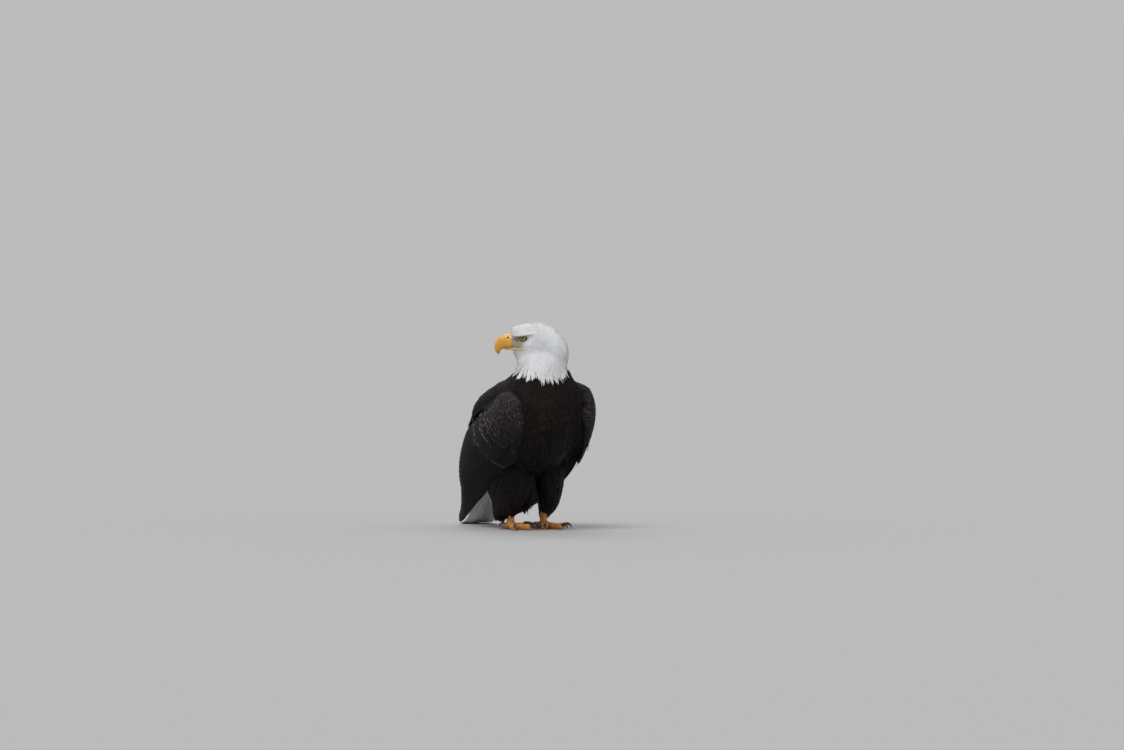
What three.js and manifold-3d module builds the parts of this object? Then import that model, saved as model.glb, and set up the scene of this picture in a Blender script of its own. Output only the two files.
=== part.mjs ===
// A life-size bald eagle standing on a flat floor, its head turned over its right shoulder.
//
// Millimetres, +Z up. The bird faces -Y and its left side is +X. It is laid out around the point
// between its feet on the floor, then moved so that the origin is at the middle of its bounding
// box's base. Each sub-part is one closed faceted solid that keeps SEAM to its neighbours.

import * as THREE from "three";
import { mergeVertices } from "three/addons/utils/BufferGeometryUtils.js";
import Module from "manifold-3d";

const wasm = await Module();
wasm.setup();

// ---------- Driving dimensions ----------

const SEAM = 0.35; // gap between two sub-parts that meet
const HEAD_TURN = 116.5; // degrees from straight ahead to the bill, towards the bird's right
const EYE_MIDDLE = new THREE.Vector3(-38, -57, 509); // the point between the two eyes
const EYE_RADIUS = 11;
const EYE_SPREAD = 22.5; // from the head's middle plane to the centre of an eyeball

const FOOT_SPREAD = 48.5; // from the middle plane to the middle of a foot
const TOE_RADIUS = 9;
const SOLE_SINK = 1.6; // how far the round toes reach below the floor before they are cut flat
const FOOT_TURN = { left: 16, right: 20 }; // degrees, both towards the bird's left
const ANKLE_HEIGHT = 21; // where a foot is parted from its shank
const THIGH_TURN = 22; // degrees that the front of each thigh is turned in

const TAIL_HALF_WIDTH = { root: 24, tip: 50 };
const TAIL_THICKNESS = 6;
const TAIL_FEATHERS = 12;

const WING_SLIT = 0.0016; // between two parts of the wing, as a share of the folded wing's length
const WING_PARTS = { // from and to, as shares of the same length, and the rings of facets
  arm: [0, 0.42, 9],
  secondaries: [0.42 + WING_SLIT, 0.74, 5],
  primaries: [0.74 + WING_SLIT, 1, 5],
};
const WING_LOOSE = 0.4; // how much less than the right wing the left one is tucked in
const WING_LIFT = 58; // how high a wrist that isn't tucked in at all would be carried

// ---------- Small helpers ----------

const vec = (x, y, z) => new THREE.Vector3(x, y, z);
const mix = THREE.MathUtils.lerp;
const radians = THREE.MathUtils.degToRad;
const bell = (distance, width) => Math.exp(-((distance / width) ** 2));

// A smooth curve through stations [[t, value], ...] that never overshoots them.
function through(stations) {
  const last = stations.length - 1;
  const slope = (i) => (stations[i + 1][1] - stations[i][1]) / (stations[i + 1][0] - stations[i][0]);
  const tangent = stations.map((_, i) => {
    if (i === 0) return slope(0);
    if (i === last) return slope(last - 1);
    const [before, after] = [slope(i - 1), slope(i)];
    return before * after <= 0 ? 0 : (2 * before * after) / (before + after);
  });
  return (t) => {
    if (t <= stations[0][0]) return stations[0][1];
    if (t >= stations[last][0]) return stations[last][1];
    const i = stations.findIndex(([at], n) => n > 0 && t <= at) - 1;
    const width = stations[i + 1][0] - stations[i][0];
    const s = (t - stations[i][0]) / width;
    const [s2, s3] = [s * s, s * s * s];
    return (
      (2 * s3 - 3 * s2 + 1) * stations[i][1] +
      (s3 - 2 * s2 + s) * width * tangent[i] +
      (3 * s2 - 2 * s3) * stations[i + 1][1] +
      (s3 - s2) * width * tangent[i + 1]
    );
  };
}

// Several smooth curves over the same stations: rows are [t, { name: value, ... }].
function sizesAt(rows) {
  const curveOf = (name) => through(rows.map(([t, sizes]) => [t, sizes[name]]));
  const curves = Object.keys(rows[0][1]).map((name) => [name, curveOf(name)]);
  return (t) => Object.fromEntries(curves.map(([name, curve]) => [name, curve(t)]));
}

// x and y of a superellipse with half-widths of 1; power 2 is a circle, and more is squarer.
function roundish(angle, power) {
  const [c, s] = [Math.cos(angle), Math.sin(angle)];
  return [Math.sign(c) * Math.abs(c) ** (2 / power), Math.sign(s) * Math.abs(s) ** (2 / power)];
}

// The indexed triangles as a solid, turned right side out.
function solidFrom(points, triangles) {
  const flat = new Float32Array(points.flatMap((p) => [p.x, p.y, p.z]));
  const geometry = new THREE.BufferGeometry()
    .setAttribute("position", new THREE.BufferAttribute(flat, 3))
    .setIndex(triangles);
  return toSolid(geometry);
}

function toSolid(geometry) {
  geometry.deleteAttribute("normal");
  geometry.deleteAttribute("uv");
  const merged = mergeVertices(geometry, 1e-4);
  const vertProperties = new Float32Array(merged.attributes.position.array);
  const make = (triVerts) => new wasm.Manifold(new wasm.Mesh({ numProp: 3, vertProperties, triVerts }));
  const indices = new Uint32Array(merged.index.array);
  const made = make(indices);
  return made.volume() > 0 ? made : make(indices.reverse());
}

const ringOf = (sides, pointAt) =>
  Array.from({ length: sides }, (_, i) => pointAt((i / sides) * 2 * Math.PI));

// A closed skin over rings of an equal, even length. Each end is closed by a ladder of triangles
// between the ring's two halves, so the cap of a curved section follows its curve.
function loft(rings) {
  const sides = rings[0].length;
  const triangles = [];
  const add = (flip, a, b, c) => triangles.push(...(flip ? [c, b, a] : [a, b, c]));
  for (let r = 0; r + 1 < rings.length; r++) {
    for (let i = 0; i < sides; i++) {
      const [a, b] = [r * sides + i, r * sides + ((i + 1) % sides)];
      triangles.push(a, b, a + sides, b, b + sides, a + sides);
    }
  }
  for (const [r, flip] of [[0, true], [rings.length - 1, false]]) {
    for (let i = 0; i < sides / 2; i++) {
      const [a, b, c, d] = [i, i + 1, sides - i - 1, (sides - i) % sides].map((n) => r * sides + n);
      if (b !== c) add(flip, a, b, c);
      if (a !== d) add(flip, a, c, d);
    }
  }
  return solidFrom(rings.flat(), triangles);
}

// A shell: two matching grids of points, outside(u, v) and inside(u, v), joined round their edges.
function shell(outside, inside, columns, rows) {
  const points = [];
  for (const face of [outside, inside]) {
    for (let i = 0; i <= columns; i++) {
      for (let j = 0; j <= rows; j++) points.push(face(i / columns, j / rows));
    }
  }
  const at = (layer, i, j) => layer * (columns + 1) * (rows + 1) + i * (rows + 1) + j;
  const triangles = [];
  const quad = (a, b, c, d) => triangles.push(a, b, c, a, c, d);
  for (let i = 0; i < columns; i++) {
    for (let j = 0; j < rows; j++) {
      quad(at(0, i, j), at(0, i + 1, j), at(0, i + 1, j + 1), at(0, i, j + 1));
      quad(at(1, i, j), at(1, i, j + 1), at(1, i + 1, j + 1), at(1, i + 1, j));
    }
    quad(at(0, i, 0), at(1, i, 0), at(1, i + 1, 0), at(0, i + 1, 0));
    quad(at(0, i, rows), at(0, i + 1, rows), at(1, i + 1, rows), at(1, i, rows));
  }
  for (let j = 0; j < rows; j++) {
    quad(at(0, 0, j), at(0, 0, j + 1), at(1, 0, j + 1), at(1, 0, j));
    quad(at(0, columns, j), at(1, columns, j), at(1, columns, j + 1), at(0, columns, j + 1));
  }
  return solidFrom(points, triangles);
}

// A tapering tube along a curve. radiusAt(t) gives { across, deep }: across lies level where it can.
function limb(curve, radiusAt, steps, sides, across = null, power = 2) {
  const rings = [];
  for (let k = 0; k <= steps; k++) {
    const t = k / steps;
    const along = curve.getTangent(t);
    const side = across ? across.clone() : vec(0, 0, 1).cross(along);
    side.addScaledVector(along, -side.dot(along)).normalize();
    const rise = along.clone().cross(side);
    const size = radiusAt(t);
    const pointAt = (angle) => {
      const [c, s] = roundish(angle, power);
      return curve.getPoint(t).addScaledVector(side, size.across * c).addScaledVector(rise, size.deep * s);
    };
    rings.push(ringOf(sides, pointAt));
  }
  return loft(rings);
}

const smoothCurve = (...points) =>
  new THREE.CatmullRomCurve3(points.map((p) => vec(...p)), false, "centripetal");
const ball = (centre, radius, sides) =>
  toSolid(new THREE.SphereGeometry(radius, sides, sides / 2).translate(centre.x, centre.y, centre.z));

const FAR = 900; // further than the bird reaches
// A big slab whose flat face passes through a point: what lies on the side that the normal points to.
function beyond(point, normal) {
  const slab = new THREE.BoxGeometry(2 * FAR, 2 * FAR, FAR).translate(0, 0, FAR / 2);
  slab.applyQuaternion(new THREE.Quaternion().setFromUnitVectors(vec(0, 0, 1), normal.clone().normalize()));
  return toSolid(slab.translate(point.x, point.y, point.z));
}

// The two sides of a solid parted by a thin plane cut: [the side the normal points to, the other].
function partAt(solid, point, normal) {
  const unit = normal.clone().normalize();
  const back = unit.clone().negate();
  return [
    solid.intersect(beyond(point.clone().addScaledVector(unit, SEAM / 2), unit)),
    solid.intersect(beyond(point.clone().addScaledVector(back, SEAM / 2), back)),
  ];
}

// What is left of a solid after cuts, without loose crumbs.
const bigger = (one, other) => (one.volume() > other.volume() ? one : other);
const largest = (solid) => solid.decompose().reduce(bigger);
const without = (solid, ...cutters) =>
  largest(cutters.reduce((left, cutter) => left.subtract(cutter), solid));

// ---------- Trunk and neck ----------

// The line through the middle of the body, from the tail's root to inside the head.
const SPINE = smoothCurve(
  [0, 204, 116],
  [0, 154, 178],
  [0, 92, 236],
  [0, 25, 284],
  [0, -35, 322],
  [0, -72, 358],
  [0, -87, 402],
  [4, -87, 446],
  [12, -81, 488],
);

// Half-widths and the depths above and below that line; square is the dorsal side's squareness.
const BODY = sizesAt([
  [0.0, { wide: 32, back: 12, front: 16, square: 2.0 }],
  [0.125, { wide: 72, back: 38, front: 52, square: 2.3 }],
  [0.25, { wide: 108, back: 68, front: 118, square: 3.0 }],
  [0.375, { wide: 126, back: 95, front: 162, square: 3.0 }],
  [0.5, { wide: 124, back: 90, front: 160, square: 2.7 }],
  [0.625, { wide: 117, back: 84, front: 122, square: 2.4 }],
  [0.75, { wide: 87, back: 80, front: 76, square: 2.1 }],
  [0.8125, { wide: 73, back: 69, front: 63, square: 2.0 }],
  [0.875, { wide: 63, back: 58, front: 54, square: 2.0 }],
  [0.9375, { wide: 46, back: 44, front: 38, square: 2.0 }],
  [1.0, { wide: 32, back: 30, front: 28, square: 2.0 }],
]);
const BODY_RINGS = 18;
const BODY_SIDES = 24;

function bodyPoint(t, angle, grow = 0) {
  const along = SPINE.getTangent(t);
  const back = along.clone().cross(vec(1, 0, 0));
  const size = BODY(t);
  const rise = Math.sin(angle);
  const [c, s] = roundish(angle, rise > 0 ? size.square : 2.1);
  const depth = (rise > 0 ? size.back : size.front) + grow;
  return SPINE.getPoint(t).add(vec((size.wide + grow) * c, 0, 0)).addScaledVector(back, depth * s);
}

function body(grow = 0) {
  const rings = [];
  for (let k = 0; k <= BODY_RINGS; k++) {
    rings.push(ringOf(BODY_SIDES, (angle) => bodyPoint(k / BODY_RINGS, angle, grow)));
  }
  return loft(rings);
}

// ---------- Head ----------

// The head's own frame: x forward along the bill, y to its left, z up, from the point between the eyes.
const headMatrix = new THREE.Matrix4().compose(
  EYE_MIDDLE,
  new THREE.Quaternion().setFromAxisAngle(vec(0, 0, 1), radians(-90 - HEAD_TURN)),
  vec(1, 1, 1),
);
const inHead = (solid) => solid.transform(headMatrix.elements);

// Along the bill, the height of the crown and of the throat, and the half-width.
const HEAD = sizesAt([
  [-119, { top: -30, bottom: -58, wide: 16 }],
  [-113, { top: -10, bottom: -74, wide: 33 }],
  [-100, { top: 9, bottom: -84, wide: 43 }],
  [-80, { top: 27, bottom: -86, wide: 48.5 }],
  [-60, { top: 37, bottom: -84, wide: 48 }],
  [-40, { top: 41.5, bottom: -82, wide: 44.5 }],
  [-20, { top: 40, bottom: -79, wide: 39.5 }],
  [0, { top: 36.5, bottom: -73, wide: 35 }],
  [13, { top: 31.5, bottom: -64, wide: 30 }],
  [24, { top: 24, bottom: -46, wide: 24 }],
  [31, { top: 15, bottom: -34, wide: 19 }],
  [35, { top: 8, bottom: -27, wide: 12 }],
]);
const HEAD_STEPS = [-119, -113, -100, -80, -60, -42, -26, -15, -6, 2, 10, 18, 25, 31, 35];
const HEAD_SIDES = 24;

// Ridges and hollows of the face: where along and up, how far each way, and how far out.
const FACE_RELIEF = [
  { at: [6, 11], reach: [20, 5], out: 3.4 }, // brow
  { at: [21, -1], reach: [9, 8], out: -4.5 }, // lore
  { at: [-1, -1], reach: [11, 8.5], out: -6.5 }, // hollow round the eye
  { at: [-8, -22], reach: [20, 11], out: 2.4 }, // cheek
];

function headPoint(along, angle) {
  const size = HEAD(along);
  const [c, s] = roundish(angle, 2.15);
  const height = (size.top + size.bottom) / 2 + ((size.top - size.bottom) / 2) * s;
  const relief = FACE_RELIEF.reduce(
    (sum, { at, reach, out }) => sum + out * bell(along - at[0], reach[0]) * bell(height - at[1], reach[1]),
    0,
  );
  return vec(along, size.wide * c + Math.sign(c) * Math.min(1, Math.abs(c) * 2) * relief, height);
}

function head() {
  return inHead(loft(HEAD_STEPS.map((along) => ringOf(HEAD_SIDES, (angle) => headPoint(along, angle)))));
}

// ---------- Bill ----------

// The middle line of each half of the bill in the head's frame, and its half-sizes from base to tip.
const UPPER_BILL = smoothCurve(
  [20, 0, -9],
  [33, 0, -8],
  [46, 0, -9.5],
  [57.5, 0, -13.5],
  [65.5, 0, -22],
  [68, 0, -33],
  [65.5, 0, -43.5],
);
const UPPER_SIZE = sizesAt([
  [0, { across: 13, deep: 15 }],
  [0.18, { across: 15, deep: 19 }],
  [0.38, { across: 12.8, deep: 18.2 }],
  [0.56, { across: 10.2, deep: 15.2 }],
  [0.72, { across: 7.6, deep: 11 }],
  [0.87, { across: 4.6, deep: 6.2 }],
  [1, { across: 0.7, deep: 0.8 }],
]);
const LOWER_BILL = smoothCurve([14, 0, -29], [30, 0, -29.5], [45, 0, -28.5], [58, 0, -27]);
const LOWER_SIZE = sizesAt([
  [0, { across: 12, deep: 6 }],
  [0.35, { across: 10.5, deep: 5.6 }],
  [0.75, { across: 7, deep: 4.6 }],
  [1, { across: 3.6, deep: 2.6 }],
]);

function bill(curve, sizes, steps, sides, grow = 0) {
  const grown = (t) => {
    const size = sizes(t);
    return { across: size.across + grow, deep: size.deep + grow };
  };
  return inHead(limb(curve, grown, steps, sides, vec(0, 1, 0), 2.2));
}

const eyeCentre = (side) => vec(0, side * EYE_SPREAD, 0).applyMatrix4(headMatrix);

// ---------- Wings ----------

// The folded wing from wrist to tip: the places of its lower (leading) and upper (trailing) edge as
// seen from the side, how far out its middle lies, how far its edges are tucked in, and its thickness.
const WING = sizesAt([
  [0.0, { lowY: -151, lowZ: 318, highY: -151, highZ: 332, out: 86, low: 0, high: 0, thick: 12 }],
  [0.04, { lowY: -150, lowZ: 302, highY: -145, highZ: 352, out: 102, low: 18, high: 8, thick: 20 }],
  [0.1, { lowY: -146, lowZ: 274, highY: -126, highZ: 368, out: 120, low: 36, high: 20, thick: 24 }],
  [0.2, { lowY: -133, lowZ: 237, highY: -88, highZ: 371, out: 131, low: 46, high: 30, thick: 25 }],
  [0.34, { lowY: -102, lowZ: 191, highY: -25, highZ: 356, out: 138, low: 53, high: 38, thick: 22 }],
  [0.5, { lowY: -50, lowZ: 147, highY: 50, highZ: 330, out: 142, low: 56, high: 44, thick: 16 }],
  [0.64, { lowY: 15, lowZ: 111, highY: 112, highZ: 290, out: 140, low: 54, high: 38, thick: 12 }],
  [0.78, { lowY: 98, lowZ: 71, highY: 176, highZ: 226, out: 127, low: 44, high: 24, thick: 9 }],
  [0.9, { lowY: 192, lowZ: 35, highY: 232, highZ: 124, out: 90, low: 20, high: 7, thick: 7 }],
  [1.0, { lowY: 281, lowZ: 7, highY: 287, highZ: 15, out: 55, low: 0, high: 0, thick: 4 }],
]);
const WING_SIDES = 16;

// The wing's middle surface; u runs from wrist to tip, v from the lower edge up.
function wingMiddle(u, v, side) {
  const size = WING(u);
  const off = 2 * v - 1;
  const looseness = side > 0 ? WING_LOOSE : 0;
  const shoulder = looseness * Math.max(0, 1 - 2.5 * u);
  const tuck = (off < 0 ? size.low * (1 - looseness) : size.high * (1 - shoulder)) * off * off;
  const lift = WING_LIFT * shoulder * v;
  return vec(side * (size.out - tuck), mix(size.lowY, size.highY, v), mix(size.lowZ, size.highZ, v) + lift);
}

// A ring of the wing's section goes from its lower edge over the outer face and back inside.
function wingPoint(u, angle, side, grow) {
  const step = 0.01;
  const v = (1 - Math.cos(angle)) / 2;
  const [u0, v0] = [u, v].map((x) => THREE.MathUtils.clamp(x, step, 1 - step));
  const alongU = wingMiddle(u0 + step, v0, side).sub(wingMiddle(u0 - step, v0, side)).normalize();
  const alongV = wingMiddle(u0, v0 + step, side).sub(wingMiddle(u0, v0 - step, side)).normalize();
  const out = alongV.clone().cross(alongU).normalize();
  if (out.x * side < 0) out.negate();
  const half = (WING(u).thick / 2) * Math.sin(angle);
  return wingMiddle(u, v, side)
    .addScaledVector(out, half + grow * Math.sin(angle))
    .addScaledVector(alongV, -grow * Math.cos(angle))
    .addScaledVector(alongU, (2 * u - 1) * grow);
}

function wing(side, from, to, steps, grow = 0) {
  const rings = [];
  for (let k = 0; k <= steps; k++) {
    const u = mix(from, to, k / steps);
    rings.push(ringOf(WING_SIDES, (angle) => wingPoint(u, angle, side, grow)));
  }
  return loft(rings);
}

// The thumb's feathers, from the wrist down along the leading edge to a free tip.
const ALULA = {
  left: [[108, -141, 322], [117, -139, 292], [123, -131, 252], [126, -119, 214], [117, -103, 171]],
  right: [[-112, -146, 322], [-118, -146, 292], [-113, -138, 252], [-104, -126, 214], [-94, -108, 176]],
};

function alula(name, grow = 0) {
  const size = sizesAt([
    [0, { across: 9, deep: 3 }],
    [0.35, { across: 15, deep: 5 }],
    [0.75, { across: 11, deep: 3.5 }],
    [1, { across: 2, deep: 1 }],
  ]);
  const grown = (t) => ({ across: size(t).across + grow, deep: size(t).deep + grow });
  return limb(smoothCurve(...ALULA[name]), grown, 6, 6, vec(0, 1, 0.3));
}

// ---------- Tail ----------

// The middle of the tail from its root down to where its tip is laid on the floor.
const TAIL_LINE = smoothCurve(
  [0, 128, 192],
  [0, 198, 112],
  [0, 252, 48],
  [0, 286, 13],
  [0, 312, 3.4],
  [0, 334, 0.6],
);

// A shallow fan of broad feathers, its end scalloped by their tips; s runs across it, t along it.
function tailPoint(s, t, face, grow) {
  const across = 2 * s - 1;
  const scallop = 0.03 * Math.abs(Math.cos(s * TAIL_FEATHERS * Math.PI * 0.5));
  const reach = t * (1 - 0.06 * across * across - scallop * t);
  const along = TAIL_LINE.getTangentAt(reach);
  const up = along.clone().cross(vec(1, 0, 0));
  if (up.z < 0) up.negate();
  const half = mix(TAIL_HALF_WIDTH.root, TAIL_HALF_WIDTH.tip, Math.sqrt(t)) + grow;
  const crown = (9 * (1 - across * across) - 5) * (1 - t);
  const thick = (TAIL_THICKNESS / 2) * (1 - 0.4 * t) + grow;
  return TAIL_LINE.getPointAt(reach)
    .addScaledVector(up, crown + face * thick)
    .add(vec(across * half, 0, 0));
}

function tail(grow = 0) {
  const face = (sign) => (s, t) => tailPoint(s, t, sign, grow);
  return shell(face(1), face(-1), 2 * TAIL_FEATHERS, 5);
}

// ---------- Legs ----------

// The feathered thigh: level oval sections, from inside the belly to a ragged end behind the shank.
const THIGH = sizesAt([
  [26, { x: 66, y: 38, across: 4, deep: 6 }],
  [32, { x: 64, y: 32, across: 10, deep: 16 }],
  [44, { x: 63, y: 16, across: 19, deep: 33 }],
  [57, { x: 60, y: -2, across: 25, deep: 48 }],
  [74, { x: 57, y: -15, across: 29, deep: 62 }],
  [105, { x: 57, y: -14, across: 37, deep: 75 }],
  [150, { x: 58, y: -9, across: 45, deep: 78 }],
  [200, { x: 57, y: -6, across: 44, deep: 62 }],
]);
const THIGH_LEVELS = [26, 32, 40, 50, 62, 76, 95, 120, 150, 200];
const THIGH_SIDES = 14;

function thigh(side, grow = 0) {
  const turn = radians(THIGH_TURN);
  const outwards = vec(side * Math.cos(turn), -Math.sin(turn), 0);
  const forwards = vec(-side * Math.sin(turn), -Math.cos(turn), 0);
  const rings = THIGH_LEVELS.map((z) => {
    const size = THIGH(z);
    return ringOf(THIGH_SIDES, (angle) =>
      vec(side * size.x, size.y, z)
        .addScaledVector(outwards, (size.across + grow) * Math.cos(angle))
        .addScaledVector(forwards, (size.deep + grow) * Math.sin(angle)),
    );
  });
  return loft(rings);
}

function shank(side, grow = 0) {
  const x = side * FOOT_SPREAD;
  const line = smoothCurve([x, 1, 12], [x, 0, 32], [x, -1, 58], [x, 8, 105]);
  const size = sizesAt([
    [0, { across: 12, deep: 12.5 }],
    [0.25, { across: 9.2, deep: 10.8 }],
    [0.6, { across: 8.5, deep: 10 }],
    [1, { across: 10, deep: 12 }],
  ]);
  const grown = (t) => ({ across: size(t).across + grow, deep: size(t).deep + grow });
  return limb(line, grown, 5, 10, vec(1, 0, 0));
}

// Toes, with the angle outwards from the middle toe, the length to the claw, and the claw's length.
const TOES = {
  hind: { angle: 200, length: 38, thick: 1.06, claw: 38 },
  inner: { angle: -38, length: 50, thick: 1.02, claw: 35 },
  middle: { angle: 0, length: 72, thick: 1, claw: 31 },
  outer: { angle: 36, length: 56, thick: 0.92, claw: 27 },
};

const toeHeading = (side, turn, toe) => {
  const angle = radians(turn + side * toe.angle);
  return vec(Math.sin(angle), -Math.cos(angle), 0);
};

// A toe runs out from under the shank, with a swelling at each joint pad.
function toe(side, turn, { length, thick, angle }) {
  const heading = toeHeading(side, turn, { angle });
  const start = vec(side * FOOT_SPREAD, 0, TOE_RADIUS + 3);
  const low = TOE_RADIUS * thick - SOLE_SINK;
  const point = (share, z) => start.clone().addScaledVector(heading, length * share).setZ(z).toArray();
  const line = smoothCurve(
    point(0, low + 4),
    point(0.3, low + 1.5),
    point(0.65, low),
    point(0.92, low),
    point(1.06, low + 0.5),
  );
  const pads = Math.round(length / 20);
  const size = (t) => {
    const swell = 1 + 0.09 * Math.cos(2 * Math.PI * pads * (t - 0.93));
    const end = t > 0.9 ? Math.sqrt(Math.max(0.25, 1 - ((t - 0.9) / 0.115) ** 2)) : 1;
    const radius = TOE_RADIUS * thick * swell * end * (1 - 0.1 * t);
    return { across: radius, deep: radius };
  };
  return limb(line, size, 5, 6);
}

// A claw leaves the toe's end, arches up and comes down to a point just above the floor.
function claw(side, turn, { length, thick, angle, claw: reach }, grow = 0) {
  const heading = toeHeading(side, turn, { angle });
  const start = vec(side * FOOT_SPREAD, 0, 0).addScaledVector(heading, length * 0.97);
  const point = (share, z) => start.clone().addScaledVector(heading, reach * share).setZ(z).toArray();
  const line = smoothCurve(
    point(-0.05, 9.2),
    point(0.2, 13),
    point(0.48, 13.6),
    point(0.72, 9.6),
    point(0.86, 1.8),
  );
  const size = (t) => {
    const radius = 5.4 * thick * (1 - t) ** 0.75 + 0.5 + grow;
    return { across: radius * 0.82, deep: radius };
  };
  return limb(line, size, 6, 6);
}

function foot(side, turn) {
  const pad = ball(vec(side * FOOT_SPREAD, 0, 13), 13.5, 8);
  return Object.values(TOES).reduce((joined, each) => joined.add(toe(side, turn, each)), pad);
}

// ---------- Joining and parting ----------

const SIDES = { left: 1, right: -1 };
const NECK_BASE = 0.74; // where the spine's line is parted for the neck and for the tail's coverts
const RUMP = 0.13;
const solids = new Map();
const floorCut = beyond(vec(0, 0, 0), vec(0, 0, -1));

const wingRoom = Object.values(SIDES).flatMap((side) =>
  Object.values(WING_PARTS).map(([from, to, columns]) =>
    wing(side, Math.max(0, from - WING_SLIT), Math.min(1, to + WING_SLIT), columns, SEAM),
  ),
);

// The trunk, neck and head are one form, parted at the jaw and at the base of the neck.
const upperBillRoom = bill(UPPER_BILL, UPPER_SIZE, 10, 12, SEAM);
const lowerBillRoom = bill(LOWER_BILL, LOWER_SIZE, 4, 8, SEAM);
const eyeRooms = Object.values(SIDES).map((side) => ball(eyeCentre(side), EYE_RADIUS + SEAM, 12));
const form = without(body().add(head()), ...wingRoom);
const jaw = vec(-60, 0, -62).applyMatrix4(headMatrix);
const headTilt = vec(0.16, 0, 1).applyMatrix4(new THREE.Matrix4().extractRotation(headMatrix));
const [headWhole, belowHead] = partAt(form, jaw, headTilt);
const [neck, belowNeck] = partAt(belowHead, SPINE.getPoint(NECK_BASE), SPINE.getTangent(NECK_BASE));
const [trunk, tailCoverts] = partAt(belowNeck, SPINE.getPoint(RUMP), SPINE.getTangent(RUMP));
const bodyRoom = body(SEAM);
solids.set("head", without(headWhole, upperBillRoom, lowerBillRoom, ...eyeRooms));
solids.set("neck", largest(neck));
solids.set("trunk", largest(trunk));
solids.set("tail_coverts", largest(tailCoverts));
solids.set("bill_upper", bill(UPPER_BILL, UPPER_SIZE, 10, 12));
solids.set("bill_lower", without(bill(LOWER_BILL, LOWER_SIZE, 4, 8), upperBillRoom));
solids.set("tail", without(tail(), bodyRoom, floorCut, ...wingRoom));

for (const [name, side] of Object.entries(SIDES)) {
  const turn = FOOT_TURN[name];
  const claws = Object.entries(TOES).map(([toeName, size]) => ({
    toeName,
    horn: claw(side, turn, size),
    room: claw(side, turn, size, SEAM),
  }));
  const wholeFoot = without(foot(side, turn), floorCut, ...claws.map(({ room }) => room));
  solids.set(`eye_${name}`, ball(eyeCentre(side), EYE_RADIUS, 12));
  for (const [part, span] of Object.entries(WING_PARTS)) {
    solids.set(`wing_${name}_${part}`, wing(side, ...span));
  }
  solids.set(`wing_${name}_alula`, without(alula(name), ...wingRoom, bodyRoom));
  solids.set(`thigh_${name}`, without(thigh(side), bodyRoom, ...wingRoom, shank(side, SEAM)));
  solids.set(`shank_${name}`, without(shank(side), beyond(vec(0, 0, ANKLE_HEIGHT), vec(0, 0, -1)), bodyRoom));
  solids.set(`foot_${name}`, without(wholeFoot, beyond(vec(0, 0, ANKLE_HEIGHT - SEAM), vec(0, 0, 1))));
  for (const { toeName, horn } of claws) solids.set(`claw_${name}_${toeName}`, without(horn, floorCut));
}

// ---------- Colours and the group ----------

const finish = (color, roughness) => new THREE.MeshStandardMaterial({ color, roughness, metalness: 0 });
const MATERIALS = [
  [/^(head|neck)$/, finish("#e9e8e6", 0.8)],
  [/^tail/, finish("#dcdad4", 0.8)],
  [/^bill_/, finish("#e2a12e", 0.4)],
  [/^eye_/, finish("#d8c873", 0.08)],
  [/^(foot|shank)_/, finish("#cf8a3a", 0.6)],
  [/^claw_/, finish("#1b191a", 0.35)],
  [/^wing_/, finish("#2f2723", 0.75)],
  [/./, finish("#241d1a", 0.8)],
];

function meshOf(name, solid) {
  const { numProp, vertProperties, triVerts } = solid.getMesh();
  const geometry = new THREE.BufferGeometry()
    .setAttribute("position", new THREE.BufferAttribute(new Float32Array(vertProperties), numProp))
    .setIndex(new THREE.BufferAttribute(new Uint32Array(triVerts), 1));
  geometry.computeVertexNormals();
  const mesh = new THREE.Mesh(geometry, MATERIALS.find(([pattern]) => pattern.test(name))[1]);
  mesh.name = name;
  return mesh;
}

const eagle = new THREE.Group();
for (const [name, solid] of solids) eagle.add(meshOf(name, solid));
const box = new THREE.Box3().setFromObject(eagle);
eagle.position.set(-(box.min.x + box.max.x) / 2, -(box.min.y + box.max.y) / 2, -box.min.z);

export default eagle;
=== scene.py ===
"""A bald eagle, a still life-size model: skin, feathers, bill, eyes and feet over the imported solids.

Metres, Z up. The bird frame is the one in which its sizes are given in millimetres: the bird faces -Y,
its left is +X, and its origin is on the floor between the feet. The head frame has x forward along the
bill, y to the bird's left and z up, from the point between the eyes.
"""

import math

import bpy
import numpy as np
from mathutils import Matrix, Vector
from mathutils.bvhtree import BVHTree


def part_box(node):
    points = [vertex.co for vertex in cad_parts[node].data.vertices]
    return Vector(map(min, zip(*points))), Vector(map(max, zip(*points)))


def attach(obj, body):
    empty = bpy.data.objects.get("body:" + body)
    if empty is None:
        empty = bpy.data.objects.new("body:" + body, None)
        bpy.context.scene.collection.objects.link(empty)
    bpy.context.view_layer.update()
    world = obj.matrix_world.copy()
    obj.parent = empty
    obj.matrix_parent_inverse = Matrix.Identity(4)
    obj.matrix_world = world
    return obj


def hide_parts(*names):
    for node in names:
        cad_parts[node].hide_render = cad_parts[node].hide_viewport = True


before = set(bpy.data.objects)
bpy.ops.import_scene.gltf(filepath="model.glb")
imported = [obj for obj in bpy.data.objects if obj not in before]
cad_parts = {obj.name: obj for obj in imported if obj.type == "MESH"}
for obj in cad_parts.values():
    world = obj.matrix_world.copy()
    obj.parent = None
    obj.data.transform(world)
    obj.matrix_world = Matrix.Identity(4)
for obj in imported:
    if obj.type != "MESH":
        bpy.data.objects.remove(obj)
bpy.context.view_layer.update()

MM = 0.001
rng = np.random.default_rng(20)

# ---------- Places in the frame ----------


def middle_of(node):
    """The middle of a CAD node's box."""
    low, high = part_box(node)
    return (np.array(low) + np.array(high)) / 2


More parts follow.
